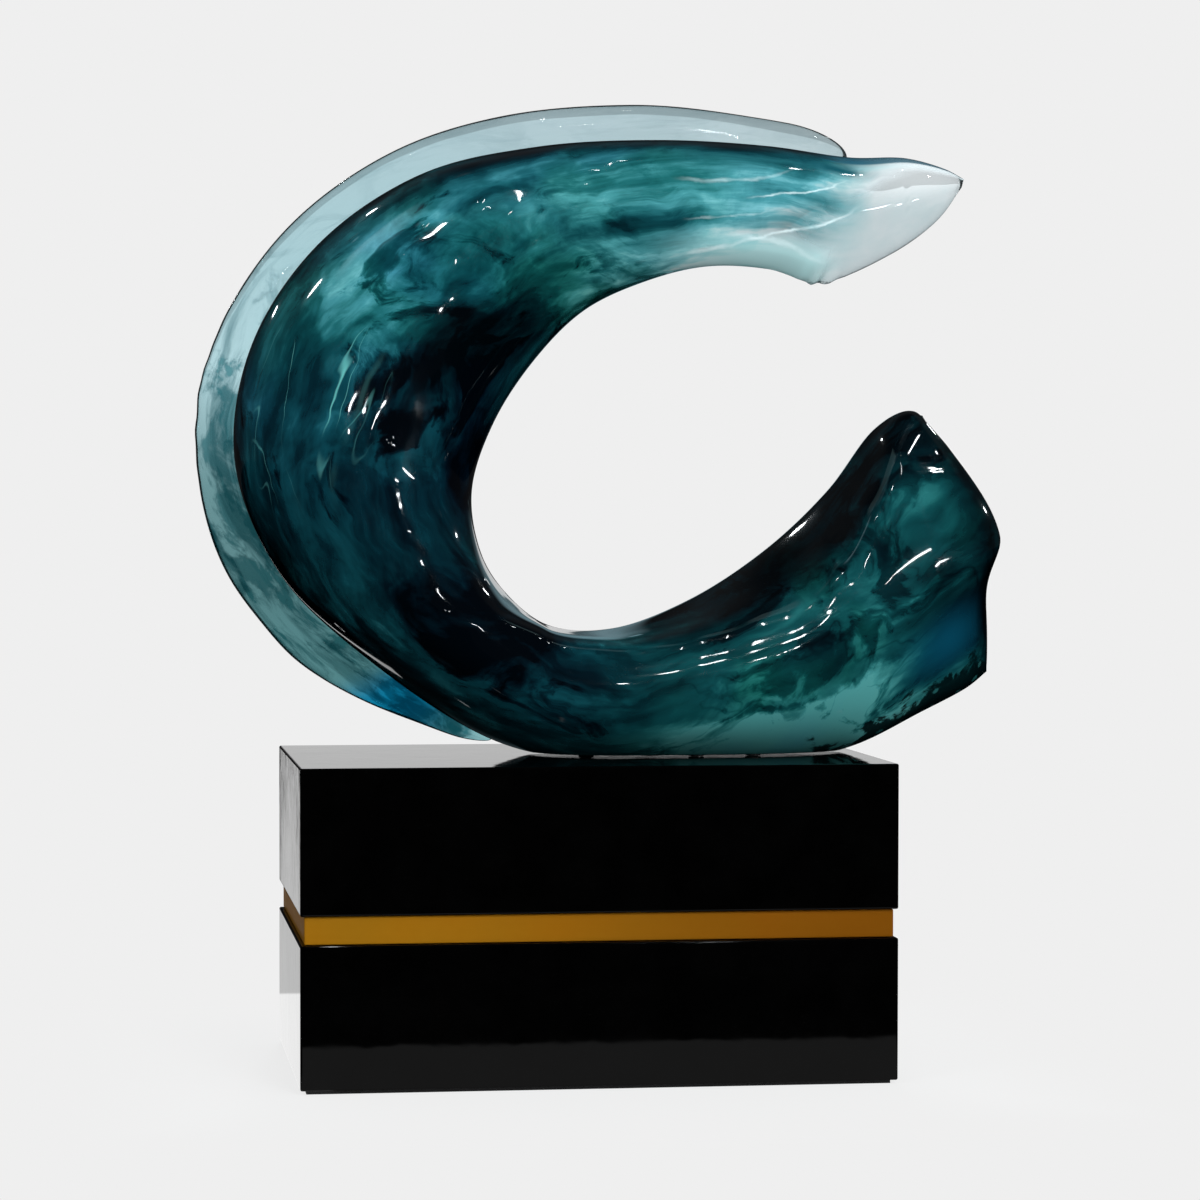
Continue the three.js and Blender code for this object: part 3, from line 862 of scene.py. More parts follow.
@dataclass(frozen=True)
class RawBoard(Finish):
    """Bare fibre board with a fine fleck."""

    name = "raw_board"
    shades: Stops = ((0.3, (0.20, 0.13, 0.075)), (0.7, (0.42, 0.30, 0.19)))

    def shader(self, graph: NodeGraph) -> Value:
        """Builds the board.

        Args:
            graph: The graph.

        Returns:
            The surface shader.
        """
        point = graph.point()
        fleck = point.streaks((300.0, 300.0, 900.0))
        return graph.principled(
            Base_Color=(fleck * 0.6 + point.noise(12.0) * 0.4).ramp(self.shades),
            Roughness=fleck.between(0.72, 0.92),
            Normal=fleck.bump(0.15 * MM),
        )


@dataclass(frozen=True)
class ZincSteel(Finish):
    """Zinc-plated steel with a faint bluish bloom."""

    name = "zinc_steel"
    shades: Stops = ((0.3, (0.48, 0.50, 0.53)), (0.7, (0.66, 0.66, 0.64)))

    def shader(self, graph: NodeGraph) -> Value:
        """Builds the steel.

        Args:
            graph: The graph.

        Returns:
            The surface shader.
        """
        point = graph.point()
        turned = point.streaks((60.0, 60.0, 2400.0), 2.0)
        return graph.principled(
            Base_Color=point.noise(180.0).ramp(self.shades),
            Metallic=1.0,
            Roughness=turned.between(0.22, 0.40),
            Normal=turned.bump(0.03 * MM),
        )


@dataclass(frozen=True)
class DarkSleeve(Finish):
    """Black moulded plastic with a fine grain."""

    name = "dark_sleeve"
    shades: Stops = ((0.3, (0.0020, 0.0025, 0.0025)), (0.7, (0.005, 0.006, 0.006)))

    def shader(self, graph: NodeGraph) -> Value:
        """Builds the plastic and returns its surface shader."""
        grain = graph.point().noise(1500.0, 3.0)
        return graph.principled(
            Base_Color=grain.ramp(self.shades),
            Roughness=grain.between(0.42, 0.58),
            Normal=grain.bump(0.05 * MM),
        )


@dataclass(frozen=True)
class BlackFelt(Finish):
    """Black felt with matted fibres."""

    name = "black_felt"
    shades: Stops = ((0.3, (0.004, 0.004, 0.004)), (0.7, (0.018, 0.018, 0.019)))

    def shader(self, graph: NodeGraph) -> Value:
        """Builds the felt and returns its surface shader."""
        fibres = graph.point().noise(1200.0, 6.0, 0.7, 2.0)
        return graph.principled(
            Base_Color=fibres.ramp(self.shades),
            Roughness=fibres.between(0.9, 1.0),
            Normal=fibres.bump(0.4 * MM),
        )


def stand_mesh(name: str, shape: bmesh.types.BMesh, finish: Finish) -> bpy.types.Object:
    """Stands a mesh in the scene.

    Args:
        name: The object's name.
        shape: Its mesh, which is freed afterwards.
        finish: Its finish.

    Returns:
        The new object.
    """
    mesh = bpy.data.meshes.new(name)
    shape.to_mesh(mesh)
    shape.free()
    mesh.materials.append(finish.material())
    made = bpy.data.objects.new(name, mesh)
    bpy.context.scene.collection.objects.link(made)
    return made


class Piece:
    """A new piece of the object: a mesh with one material that rides on the frame."""

    def __init__(
        self, name: str, shape: bmesh.types.BMesh, finish: Finish, slot: Slot, nodes: Sequence[str],
        smooth: bool = False,
    ) -> None:
        """Makes the object and ties it to the frame.

        Args:
            name: The piece's name.
            shape: Its mesh, which is freed afterwards.
            finish: Its finish.
            slot: The record's slot that the finish belongs to; not used.
            nodes: The CAD nodes that it stands for.
            smooth: Whether its faces are shaded smooth.
        """
        for face in shape.faces:
            face.smooth = smooth
        self.object = stand_mesh(name, shape, finish)
        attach(self.object, "root")
        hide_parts(*nodes)
        LOG.info("%s: %d faces, stands for %s", name, len(self.object.data.polygons), ", ".join(nodes))

    def refine(self, levels: int) -> None:
        """Adds a subdivision surface.

        Args:
            levels: How often its faces are divided.
        """
        smoother = self.object.modifiers.new("refine", "SUBSURF")
        smoother.levels = levels
        smoother.render_levels = levels


@dataclass(frozen=True)
class Section:
    """One cross-section of the wave, in hundredths of its length, height and depth."""

    outer: Pair
    inner: Pair
    front: float
    rear: float
    crest: float


@dataclass
class WaveLine:
    """The run of cross-sections that the body and the crest share, in metres."""

    length: float = 372 * MM
    height: float = 296 * MM
    depth: float = 76 * MM
    foot: float = 152.5 * MM
    bond: float = 14 * MM
    run_steps: int = 20
    sections: tuple[Section, ...] = (
        Section((55.6, 12.2), (47.3, 55.1), 21.1, 7.9, 0),
        Section((52.7, 9.5), (44.4, 55.7), 50, 15.8, 0),
        Section((46.2, 5.4), (40.3, 52.7), 68.4, 19.7, 0),
        Section((37.1, 0), (34.1, 42.6), 78.9, 19.7, 0),
        Section((26.9, -2.7), (25.8, 32.8), 84.2, 18.4, 0),
        Section((13.4, -2.7), (15.3, 24.3), 85.5, 15.8, 0),
        Section((0.5, -2), (4.8, 19.6), 85.5, 10.5, 0),
        Section((-10.8, 1.4), (-3.5, 20.3), 86.8, 0, 1.2),
        Section((-26.3, 13.9), (-9.1, 25.7), 94.7, 0, 6.9),
        Section((-38.4, 28.4), (-12.6, 32.8), 100, 0, 8),
        Section((-44.4, 46.6), (-13.7, 42.2), 100, 0, 6.1),
        Section((-42.5, 65.2), (-10.8, 53.4), 94.7, 0, 5.7),
        Section((-33.9, 82.1), (-5.1, 64.2), 86.8, 0, 5.8),
        Section((-20.4, 93.9), (1.3, 72), 76.3, 0, 6.2),
        Section((-5.4, 98.6), (9.1, 76.7), 65.8, 0, 7.4),
        Section((10.8, 100), (17.5, 79.4), 57.9, 0, 7),
        Section((25.3, 99.3), (25.8, 79.1), 50, 0, 5.3),
        Section((36.6, 97.6), (32.8, 77), 43.4, 0, 4.4),
        Section((44.1, 97.6), (41.9, 81.4), 34.2, 10.5, 0),
        Section((49.5, 95.9), (48.4, 87.2), 21.1, 9.2, 0),
        Section((52.2, 94.3), (51.9, 92.9), 5.3, 2.6, 0),
    )

    def __post_init__(self) -> None:
        """Turns the sections into points and measures the run along the curl."""
        unit = Vector((self.length, 0.0, self.height)) / 100
        deep, tall = self.depth / 100, self.height / 100
        self.outers = [self._spot(section.outer, unit) for section in self.sections]
        self.inners = [self._spot(section.inner, unit) for section in self.sections]
        self.swells = [Vector((s.front * deep, s.rear * deep, s.crest * tall)) for s in self.sections]
        middles = [self._middle(step / self.run_steps) for step in range(self.last * self.run_steps + 1)]
        self.run = [0.0]
        for here, after in zip(middles, middles[1:]):
            self.run.append(self.run[-1] + (after - here).length)

    @property
    def last(self) -> int:
        """The number of the last section."""
        return len(self.sections) - 1

    def outer(self, section: float) -> Vector:
        """Returns the point on the outside of the curl."""
        return self._curve(self.outers, section)

    def inner(self, section: float) -> Vector:
        """Returns the point on the inside of the curl."""
        return self._curve(self.inners, section)

    def swell(self, section: float) -> Vector:
        """Returns the front swell, the rear swell and the reach of the crest."""
        return self._curve(self.swells, section)

    def travelled(self, section: float) -> float:
        """Measures the way along the curl from its lower end.

        Args:
            section: The place along the curl.

        Returns:
            The distance in metres.
        """
        at = min(max(section, 0.0), float(self.last)) * self.run_steps
        low = min(int(at), len(self.run) - 2)
        return self.run[low] + (self.run[low + 1] - self.run[low]) * (at - low)

    def flow(self, section: float, share: float, depth: float) -> Vector:
        """Returns a point's place along, across and through the curl, in metres."""
        width = (self.outer(section) - self.inner(section)).length
        return Vector((self.travelled(section), (share - 0.5) * width, depth))

    def _spot(self, hundredths: Pair, unit: Vector) -> Vector:
        """Returns the point that lies that many units along and up from the middle of the foot."""
        return Vector((hundredths[0] * unit.x, 0.0, hundredths[1] * unit.z + self.foot))

    def _middle(self, section: float) -> Vector:
        """Returns the point midway between the inside and the outside."""
        return (self.outer(section) + self.inner(section)) / 2

    @staticmethod
    def _curve(points: Sequence[Vector], section: float) -> Vector:
        """Reads a smooth curve through points, by the centripetal rule.

        Args:
            points: The points that the curve passes.
            section: The place, as a point's number with a fraction.

        Returns:
            The point on the curve.
        """
        low = min(int(section), len(points) - 2)
        share = section - low
        one, two = points[low], points[low + 1]
        zero = points[low - 1] if low > 0 else one * 2 - two
        three = points[low + 2] if low + 2 < len(points) else two * 2 - one
        gap = math.sqrt((two - one).length) or 1.0
        before = math.sqrt((one - zero).length) or gap
        after = math.sqrt((three - two).length) or gap
        leave = ((one - zero) / before - (two - zero) / (before + gap) + (two - one) / gap) * gap
        reach = ((two - one) / gap - (three - one) / (gap + after) + (three - two) / after) * gap
        square = (two - one) * 3 - leave * 2 - reach
        cube = (one - two) * 2 + leave + reach
        return one + leave * share + square * share**2 + cube * share**3


@dataclass(frozen=True)
class SkinPoint:
    """A point of a lofted skin with what its pattern reads there."""

    spot: Vector
    flow: Vector
    place: Vector


class Skin:
    """A closed skin, made by wrapping a grid round a row of rings."""

    merge = 0.02 * MM

    def __init__(self, rings: Sequence[Sequence[SkinPoint]]) -> None:
        """Wraps a grid round the rings.

        Args:
            rings: Rings with the same number of points each; the first and the last are flat.
        """
        self.shape = bmesh.new()
        count = len(rings[0])
        flow = self.shape.verts.layers.float_vector.new(Pattern.FLOW.value)
        place = self.shape.verts.layers.float_vector.new(Pattern.PLACE.value)
        made = bmesh.ops.create_grid(self.shape, x_segments=count, y_segments=len(rings) - 1, size=1.0)
        for number, vert in enumerate(sorted(made["verts"], key=lambda v: v.index)):
            point = rings[number // (count + 1)][number % (count + 1) % count]
            vert.co = point.spot
            vert[flow] = point.flow
            vert[place] = point.place
        bmesh.ops.remove_doubles(self.shape, verts=self.shape.verts, dist=self.merge)
        bmesh.ops.dissolve_degenerate(self.shape, edges=self.shape.edges, dist=self.merge)
        bmesh.ops.recalc_face_normals(self.shape, faces=self.shape.faces)


@dataclass(frozen=True)
class Ridge:
    """A low ridge along the curl: its two ends as section and share, and its height and width."""

    start: Pair
    end: Pair
    height: float
    width: float

    def at(self, section: float, share: float, across: float) -> float:
        """Measures the ridge at a point of the body.

        Args:
            section: The place along the curl.
            share: The share from the inside to the outside.
            across: The width of the curl there, in metres.

        Returns:
            The height in metres.
        """
        part = (section - self.start[0]) / (self.end[0] - self.start[0])
        if not 0.0 < part < 1.0:
            return 0.0
        line = self.start[1] + (self.end[1] - self.start[1]) * part
        return self.height * math.sin(math.pi * part) ** 2 * bell((share - line) * across, 0.0, self.width)


@dataclass
class WaveBody:
    """The marbled body of the wave, from the end of its lower arm round to its tip."""

    line: WaveLine
    finish: Finish
    ring_points: int = 190
    steps_per_section: int = 20
    edge_round: float = 3.5 * MM
    edge_power: float = 0.3
    end_round: float = 0.45
    tip_round: float = 0.5
    tail_bow: float = 8 * MM
    tail_bump: float = 12.5 * MM
    tail_bump_at: float = 0.5
    tail_bump_fall: float = 0.12
    tail_bent: float = 3.5
    tail_corner: float = 2.2 * MM
    tail_corner_share: float = 0.14
    tail_corner_run: float = 0.7
    sole: float = 1.7 * MM
    lip_turn: float = 0.78
    lip_soft: float = 0.05
    lip_depth: float = 0.80
    lip_power: float = 1.15
    lip_share: Line = (
        (1.8, 0.10), (2.7, 0.15), (3.3, 0.22), (3.9, 0.25), (4.6, 0.19), (5.2, 0.14), (5.8, 0.08),
        (6.5, 0.045), (7.2, 0.06), (8.0, 0.15), (9.0, 0.13),
    )
    lip_weight: Line = ((1.2, 0.0), (2.8, 0.85), (3.6, 1.0), (7.4, 1.0), (9.6, 0.0))
    ridges: tuple[Ridge, ...] = (
        Ridge((9.6, 0.50), (11.4, 0.52), 0.6 * MM, 3.4 * MM),
        Ridge((11.2, 0.86), (13.6, 0.88), 0.6 * MM, 3.0 * MM),
        Ridge((12.0, 0.56), (13.6, 0.60), 0.5 * MM, 3.0 * MM),
        Ridge((2.2, 0.16), (0.5, 0.30), 0.6 * MM, 2.6 * MM),
        Ridge((16.1, 0.36), (17.1, 0.02), 0.4 * MM, 4.0 * MM),
        Ridge((15.4, 0.62), (17.4, 0.50), 0.5 * MM, 2.4 * MM),
        Ridge((17.8, 0.95), (18.2, 0.10), 0.9 * MM, 2.6 * MM),
    )
    dent: float = 1.1 * MM
    dent_grain: Triple = (15.0, 2.6, 9.1)
    ripple: float = 0.75 * MM
    ripple_grain: Triple = (55.0, 7.5, 2.7)
    rippled: Line = ((1.2, 0.30), (2.2, 0.10), (6.5, 0.10), (8.5, 1.0), (14.5, 1.0), (16.3, 0.15))
    drip: float = 2.2 * MM
    drip_at: Pair = (16.95, 0.28)
    drip_share: float = 0.16
    drip_least: float = 0.6
    drip_grain: Triple = (7.0, 1.3, 5.5)

    def build(self) -> Piece:
        """Builds the body.

        Returns:
            The finished piece.
        """
        steps = self.line.last * self.steps_per_section
        rings = [self._ring(step / self.steps_per_section) for step in range(steps + 1)]
        shape = Skin(rings).shape
        return Piece("wave_body_skin", shape, self.finish, Slot.TEAL_RESIN, ["wave_body"], smooth=True)

    def _ring(self, section: float) -> list[SkinPoint]:
        """Shapes one cross-section.

        Args:
            section: The place along the curl.

        Returns:
            The points round it, over the front from outside to inside and back behind.
        """
        outer, inner = self.line.outer(section), self.line.inner(section)
        across = outer - inner
        outward = Vector((-across.z, 0.0, across.x)).normalized()
        bent = smooth_step(1.0 - section / self.tail_bent)
        to_end = min(section / self.end_round, (self.line.last - section) / self.tip_round, 1.0)
        thick = quarter_round(to_end)
        middle = self.line.bond - self.edge_round
        points = []
        for step in range(self.ring_points):
            turn = 2.0 * step / self.ring_points
            share, depth, full = self._profile(section, turn)
            if turn < 1.0:
                ridges = sum(ridge.at(section, share, across.length) for ridge in self.ridges)
                depth -= full * self._dent(section, share)
                depth -= min(1.0, 2.0 * full) * ridges
            spot = inner + across * share
            spot += outward * (bent * self._bow(share) - self._corner(section, share))
            spot -= across.normalized() * self._drip(section, share)
            spot.y = middle + (depth - middle) * thick
            spot.z = max(spot.z, self.line.foot - self.sole)
            place = Vector((section / self.line.last, share, 1.0 if turn > 1.0 else 0.0))
            points.append(SkinPoint(spot, self.line.flow(section, share, spot.y), place))
        return points

    def _profile(self, section: float, turn: float) -> Triple:
        """Works out a point of the cross-section.

        Args:
            section: The place along the curl.
            turn: From 0 at the outside over the front to 1 at the inside, and on to 2 behind.

        Returns:
            The share from the inside to the outside, the depth as y, and how full the swell is there.
        """
        swell = self.line.swell(section)
        angle = math.pi * turn
        share = (1.0 + math.cos(angle)) / 2.0
        middle = self.line.bond - self.edge_round
        if turn > 1.0:
            sine = max(0.0, -math.sin(angle))
            return share, middle + self.edge_round * sine**self.edge_power + max(swell.y, 0.0) * sine, sine
        full = max(0.0, math.sin(angle))
        weight = through(self.lip_weight, section)
        if turn > 0.5 and weight > 0.0:
            soft = min(self.lip_soft, (turn - 0.5) / 2, (1.0 - turn) / 2)
            nearby = [self._lip(section, turn + soft * step / 2) for step in range(-4, 5)]
            share += (sum(point[0] for point in nearby) / len(nearby) - share) * weight
            full += (sum(point[1] for point in nearby) / len(nearby) - full) * weight
        return share, middle - (swell.x - self.edge_round) * full, full

    def _lip(self, section: float, turn: float) -> Pair:
        """Works out the lower arm's shoulder and the hollow behind its lip.

        Args:
            section: The place along the curl.
            turn: From 0.5 on the middle of the front to 1 at the inside.

        Returns:
            The share from the inside to the outside, and how full the swell is there.
        """
        lip = through(self.lip_share, section)
        if turn < self.lip_turn:
            angle = (turn - 0.5) / (self.lip_turn - 0.5) * math.pi / 2
            full = 1.0 - (1.0 - self.lip_depth) * (1.0 - math.cos(angle))
            return 0.5 - (0.5 - lip) * math.sin(angle), full
        rest = (1.0 - turn) / (1.0 - self.lip_turn)
        return lip * rest**self.lip_power, self.lip_depth * rest

    def _dent(self, section: float, share: float) -> float:
        """Works out the soft dents and ripples of the front.

        Args:
            section: The place along the curl.
            share: The share from the inside to the outside.

        Returns:
            How far the front stands proud there, in metres.
        """
        run = self.line.travelled(section)
        broad, fine = (
            noise.noise(Vector((run * along, share * over, seed)))
            for along, over, seed in (self.dent_grain, self.ripple_grain)
        )
        return self.dent * broad + self.ripple * through(self.rippled, section) * fine

    def _bow(self, share: float) -> float:
        """Works out how the end of the lower arm bows outwards.

        Args:
            share: The share from the inside to the outside.

        Returns:
            How far it bows, in metres.
        """
        rise = smooth_step(share / self.tail_bump_at)
        fall = math.exp(-(max(0.0, (share - self.tail_bump_at) / self.tail_bump_fall) ** 2))
        return 4.0 * self.tail_bow * share * (1.0 - share) + self.tail_bump * rise * fall

    def _corner(self, section: float, share: float) -> float:
        """Returns how far the top corner of the lower arm's end is rounded off."""
        near = smooth_step(1.0 - share / self.tail_corner_share)
        return self.tail_corner * near * smooth_step(1.0 - section / self.tail_corner_run)

    def _drip(self, section: float, share: float) -> float:
        """Works out the drip under the tip.

        Args:
            section: The place along the curl.
            share: The share from the inside to the outside.

        Returns:
            How far it hangs down, in metres, with a ragged edge.
        """
        near = bell(section, *self.drip_at) * smooth_step(1.0 - share / self.drip_share)
        scale, *seeds = self.drip_grain
        rough = noise.noise(Vector((section * scale, *seeds)))
        return self.drip * near * (self.drip_least + rough)


@dataclass
class RearCrest:
    """The clear crest behind the body, which reaches past its outside."""

    line: WaveLine
    finish: Finish
    ring_points: int = 64
    rings: int = 150
    seat_gap: float = 0.3 * MM
    full_reach: float = 15 * MM
    cover: float = 0.5
    front_swell: float = 13 * MM
    rear_swell: float = 15 * MM
    seat: float = 10 * MM
    first: float = 7.0
    last: float = 17.0
    start_round: float = 0.25
    end_round: float = 0.7
    scallop: float = 0.7 * MM
    scallop_at: Pair = (10.6, 0.55)
    scallop_mean: float = 1.6
    scallop_waves: Pair = (34.0, 9.0)
    heel: float = 3.4 * MM
    heel_at: Pair = (8.27, 0.32)
    waist: float = 1.0 * MM
    waist_at: Pair = (7.5, 0.22)
    levels: int = 1

    def build(self) -> Piece:
        """Builds the crest.

        Returns:
            The finished piece.
        """
        rings = []
        for step in range(self.rings + 1):
            share = (1.0 - math.cos(math.pi * step / self.rings)) / 2.0
            rings.append(self._ring(self.first + (self.last - self.first) * share))
        shape = Skin(rings).shape
        piece = Piece("rear_crest_skin", shape, self.finish, Slot.CLEAR_RESIN, ["rear_crest"], smooth=True)
        piece.refine(self.levels)
        piece.object.visible_glossy = False
        return piece

    def _ring(self, section: float) -> list[SkinPoint]:
        """Shapes one cross-section.

        Args:
            section: The place along the curl.

        Returns:
            The points round it.
        """
        outer, inner = self.line.outer(section), self.line.inner(section)
        across = (outer - inner).normalized()
        to_end = min(1.0, (self.last - section) / self.end_round)
        to_start = min(1.0, (section - self.first) / self.start_round)
        close = quarter_round(to_end) * quarter_round(to_start)
        reach = (self.line.swell(section).z + self._heel(section)) * close
        size = min(1.0, reach / self.full_reach)
        edge = outer + across * (reach + self._scallop(section))
        root = outer.lerp(inner, self.cover * size)
        seat = self.line.bond + self.seat_gap
        points = []
        for step in range(self.ring_points):
            angle = 2.0 * math.pi * step / self.ring_points
            share = (1.0 + math.cos(angle)) / 2.0
            spot = root.lerp(edge, share)
            swell = self.front_swell if step < self.ring_points / 2 else self.rear_swell
            spot.y = max(seat, seat + self.seat * size - swell * size * math.sin(angle))
            spot.z = max(spot.z, self.line.foot)
            place = Vector((section / self.line.last, share, 0.0))
            flow = Vector((self.line.travelled(section), (spot - outer).dot(across), spot.y))
            points.append(SkinPoint(spot, flow, place))
        return points

    def _heel(self, section: float) -> float:
        """Returns how much fuller the crest is low at the back of the curl, and leaner near its foot."""
        return self.heel * bell(section, *self.heel_at) - self.waist * bell(section, *self.waist_at)

    def _scallop(self, section: float) -> float:
        """Works out the small ripples on the crest's edge at the back of the curl.

        Args:
            section: The place along the curl.

        Returns:
            How far the edge stands out, in metres.
        """
        fine, slow = self.scallop_waves
        wave = self.scallop_mean + math.sin(section * fine + 2.0 * math.sin(section * slow))
        return self.scallop * bell(section, *self.scallop_at) * wave


@dataclass(frozen=True)
class EasedBox:
    """A box about the vertical axis with rounded edges."""

    bottom: float
    top: float
    width: float
    depth: float
    ease: float
    steps: int

    def shape(self) -> bmesh.types.BMesh:
        """Makes the box.

        Returns:
            A new mesh.
        """
        made = bmesh.new()
        middle = Matrix.Translation((0.0, 0.0, (self.top + self.bottom) / 2))
        size = Matrix.Diagonal((self.width, self.depth, self.top - self.bottom, 1.0))
        bmesh.ops.create_cube(made, size=1.0, matrix=middle @ size)
        bmesh.ops.bevel(
            made, geom=made.edges[:], offset=self.ease, offset_type="OFFSET", affect="EDGES",
            segments=self.steps, profile=0.5, material=-1,
        )
        return made


@dataclass
class PlinthBlock:
    """A lacquered block: a hollow box of boards with its seams lacquered over and its arrises eased."""

    name: str
    bottom: float
    top: float
    finish: Finish
    width: float = 280 * MM
    depth: float = 150 * MM
    board: float = 12 * MM
    arris: float = 0.9 * MM
    arris_steps: int = 3
    boards: tuple[str, ...] = ("top", "front", "rear", "left", "right")

    def build(self) -> Piece:
        """Builds the block.

        Returns:
            The finished piece.
        """
        box = EasedBox(self.bottom, self.top, self.width, self.depth, self.arris, self.arris_steps)
        shape = box.shape()
        under = min(shape.faces, key=lambda face: face.calc_center_median().z)
        bmesh.ops.inset_region(shape, faces=[under], thickness=self.board - self.arris, use_even_offset=True)
        lifted = bmesh.ops.extrude_discrete_faces(shape, faces=[under])["faces"]
        inside = self.top - self.bottom - self.board
        bmesh.ops.translate(shape, verts=lifted[0].verts, vec=(0.0, 0.0, inside))
        nodes = [f"{self.name}_{side}_board" for side in self.boards]
        return Piece(f"{self.name}_block", shape, self.finish, Slot.BLACK_LACQUER, nodes)


@dataclass
class GoldBand:
    """The gold band between the two blocks."""

    finish: Finish
    bottom: float = 68.8 * MM
    top: float = 81.7 * MM
    width: float = 276 * MM
    depth: float = 146 * MM
    wall: float = 1.2 * MM
    corner: float = 0.5 * MM
    corner_steps: int = 2
    level: float = 0.99

    def build(self) -> Piece:
        """Builds the band.

        Returns:
            The finished piece.
        """
        box = EasedBox(self.bottom, self.top, self.width, self.depth, self.corner, self.corner_steps)
        shape = box.shape()
        caps = [face for face in shape.faces if abs(face.normal.z) > self.level]
        bmesh.ops.inset_region(shape, faces=caps, thickness=self.wall - self.corner, use_even_offset=True)
        bmesh.ops.bridge_loops(shape, edges=list({edge for face in caps for edge in face.edges}))
        bmesh.ops.delete(shape, geom=caps, context="FACES_ONLY")
        return Piece("gold_band_skin", shape, self.finish, Slot.GOLD_METAL, ["gold_band"])


@dataclass
class Fittings:
    """The carried-over solids: each finish with how the names of its solids start."""

    finishes: tuple[tuple[Finish, tuple[str, ...]], ...] = (
        (ZincSteel(), ("stud_", "washer_", "nut_", "tie_screw_", "base_screw_")),
        (DarkSleeve(), ("spacer_left", "spacer_middle", "spacer_right")),
        (RawBoard(), (
            "spacer_board", "base_board", "upper_front_cleat", "upper_rear_cleat", "lower_front_cleat",
            "lower_rear_cleat",
        )),
        (BlackFelt(), ("felt_sheet",)),
    )

    def dress(self, nodes: dict[str, bpy.types.Object]) -> None:
        """Gives each carried-over solid its finish.

        Args:
            nodes: The frame's solids by name.
        """
        for finish, starts in self.finishes:
            material = finish.material()
            for name, solid in nodes.items():
                if name.startswith(starts):
                    solid.data.materials.clear()
                    solid.data.materials.append(material)
                    LOG.info("%s: %s", name, material.name)


@dataclass(frozen=True)
class PaleFloor(Finish):
    """The studio's floor: bright where polished faces mirror it, dim further off, shaded round the plinth."""

    name = "pale_floor"
    backdrop: float
    beyond: float
    table: float = 1.30
    ahead: float = 0.50
    contact: float = 0.10
    lean: float = 0.067
    left_strip: Band = Band((-0.154, -0.150), (-0.132, -0.128))
    front_strip: Band = Band((-0.17, -0.15), (0.20, 0.23))
    half_width: float = 140 * MM
    half_depth: float = 75 * MM
    matt: Colour = (0.8, 0.8, 0.8)

    def shader(self, graph: NodeGraph) -> Value:
        """Builds the floor.

        Args:
            graph: The graph.

        Returns:
            The surface shader.
        """
        x, y, _ = graph.point().parts()
        camera = graph.ray("Is Camera Ray")
        close = graph.ray("Ray Length").fade(0.15, 0.18, self.ahead)
        front = close * x.band(self.front_strip)
        left = (x + y * self.lean).band(self.left_strip)
        table = y.span(-0.212, -0.200) * y.span(0.23, 0.24, self.table, self.beyond)
        table = table * y.span(-0.08, -0.07).choose(front, left)
        plain = camera.most(graph.ray("Is Transmission Ray")).most(graph.ray("Is Diffuse Ray"))
        glow = graph.value("Emission", {"Color": WHITE, "Strength": plain.choose(table, self.backdrop)})
        away = (x.size() - self.half_width).most(y.size() - self.half_depth)
        shaded = away.fade(0.0, 0.12, self.contact) * camera
        matt = graph.value("BsdfDiffuse", {"Color": self.matt})
        return graph.value("MixShader", {0: shaded, 1: glow, 2: matt})


@dataclass(frozen=True)
class CardGlow(Finish):
    """A see-through glow that fades out towards the edges of a card."""

    name: str
    glow: float
    colour: Colour = (0.55, 0.88, 1.0)

    def shader(self, graph: NodeGraph) -> Value:
        """Builds the glow.

        Args:
            graph: The graph.

        Returns:
            The surface shader.
        """
        strength = self.glow
        for side in graph.value("TexCoord", output="UV").parts()[:2]:
            strength = side.apart(0.5).fade(0.08, 0.5) * strength
        glow = graph.value("Emission", {"Color": self.colour, "Strength": strength})
        return graph.value("AddShader", {0: glow, 1: graph.value("BsdfTransparent")})


@dataclass(frozen=True)
class SoftBox:
    """One lamp of the studio: where it stands, its size, its power, and which way its width lies."""

    name: str
    spot: Triple
    width: float
    height: float
    watts: float
    along: Triple = (1.0, 0.0, 0.0)
    mirrored: bool = True


@dataclass(frozen=True)
class Card:
    """A card that polished faces mirror: its middle, half sizes, the ways its sides lie, and its glow."""

    name: str
    spot: Triple
    half: Pair
    along: Triple
    across: Triple
    glow: float


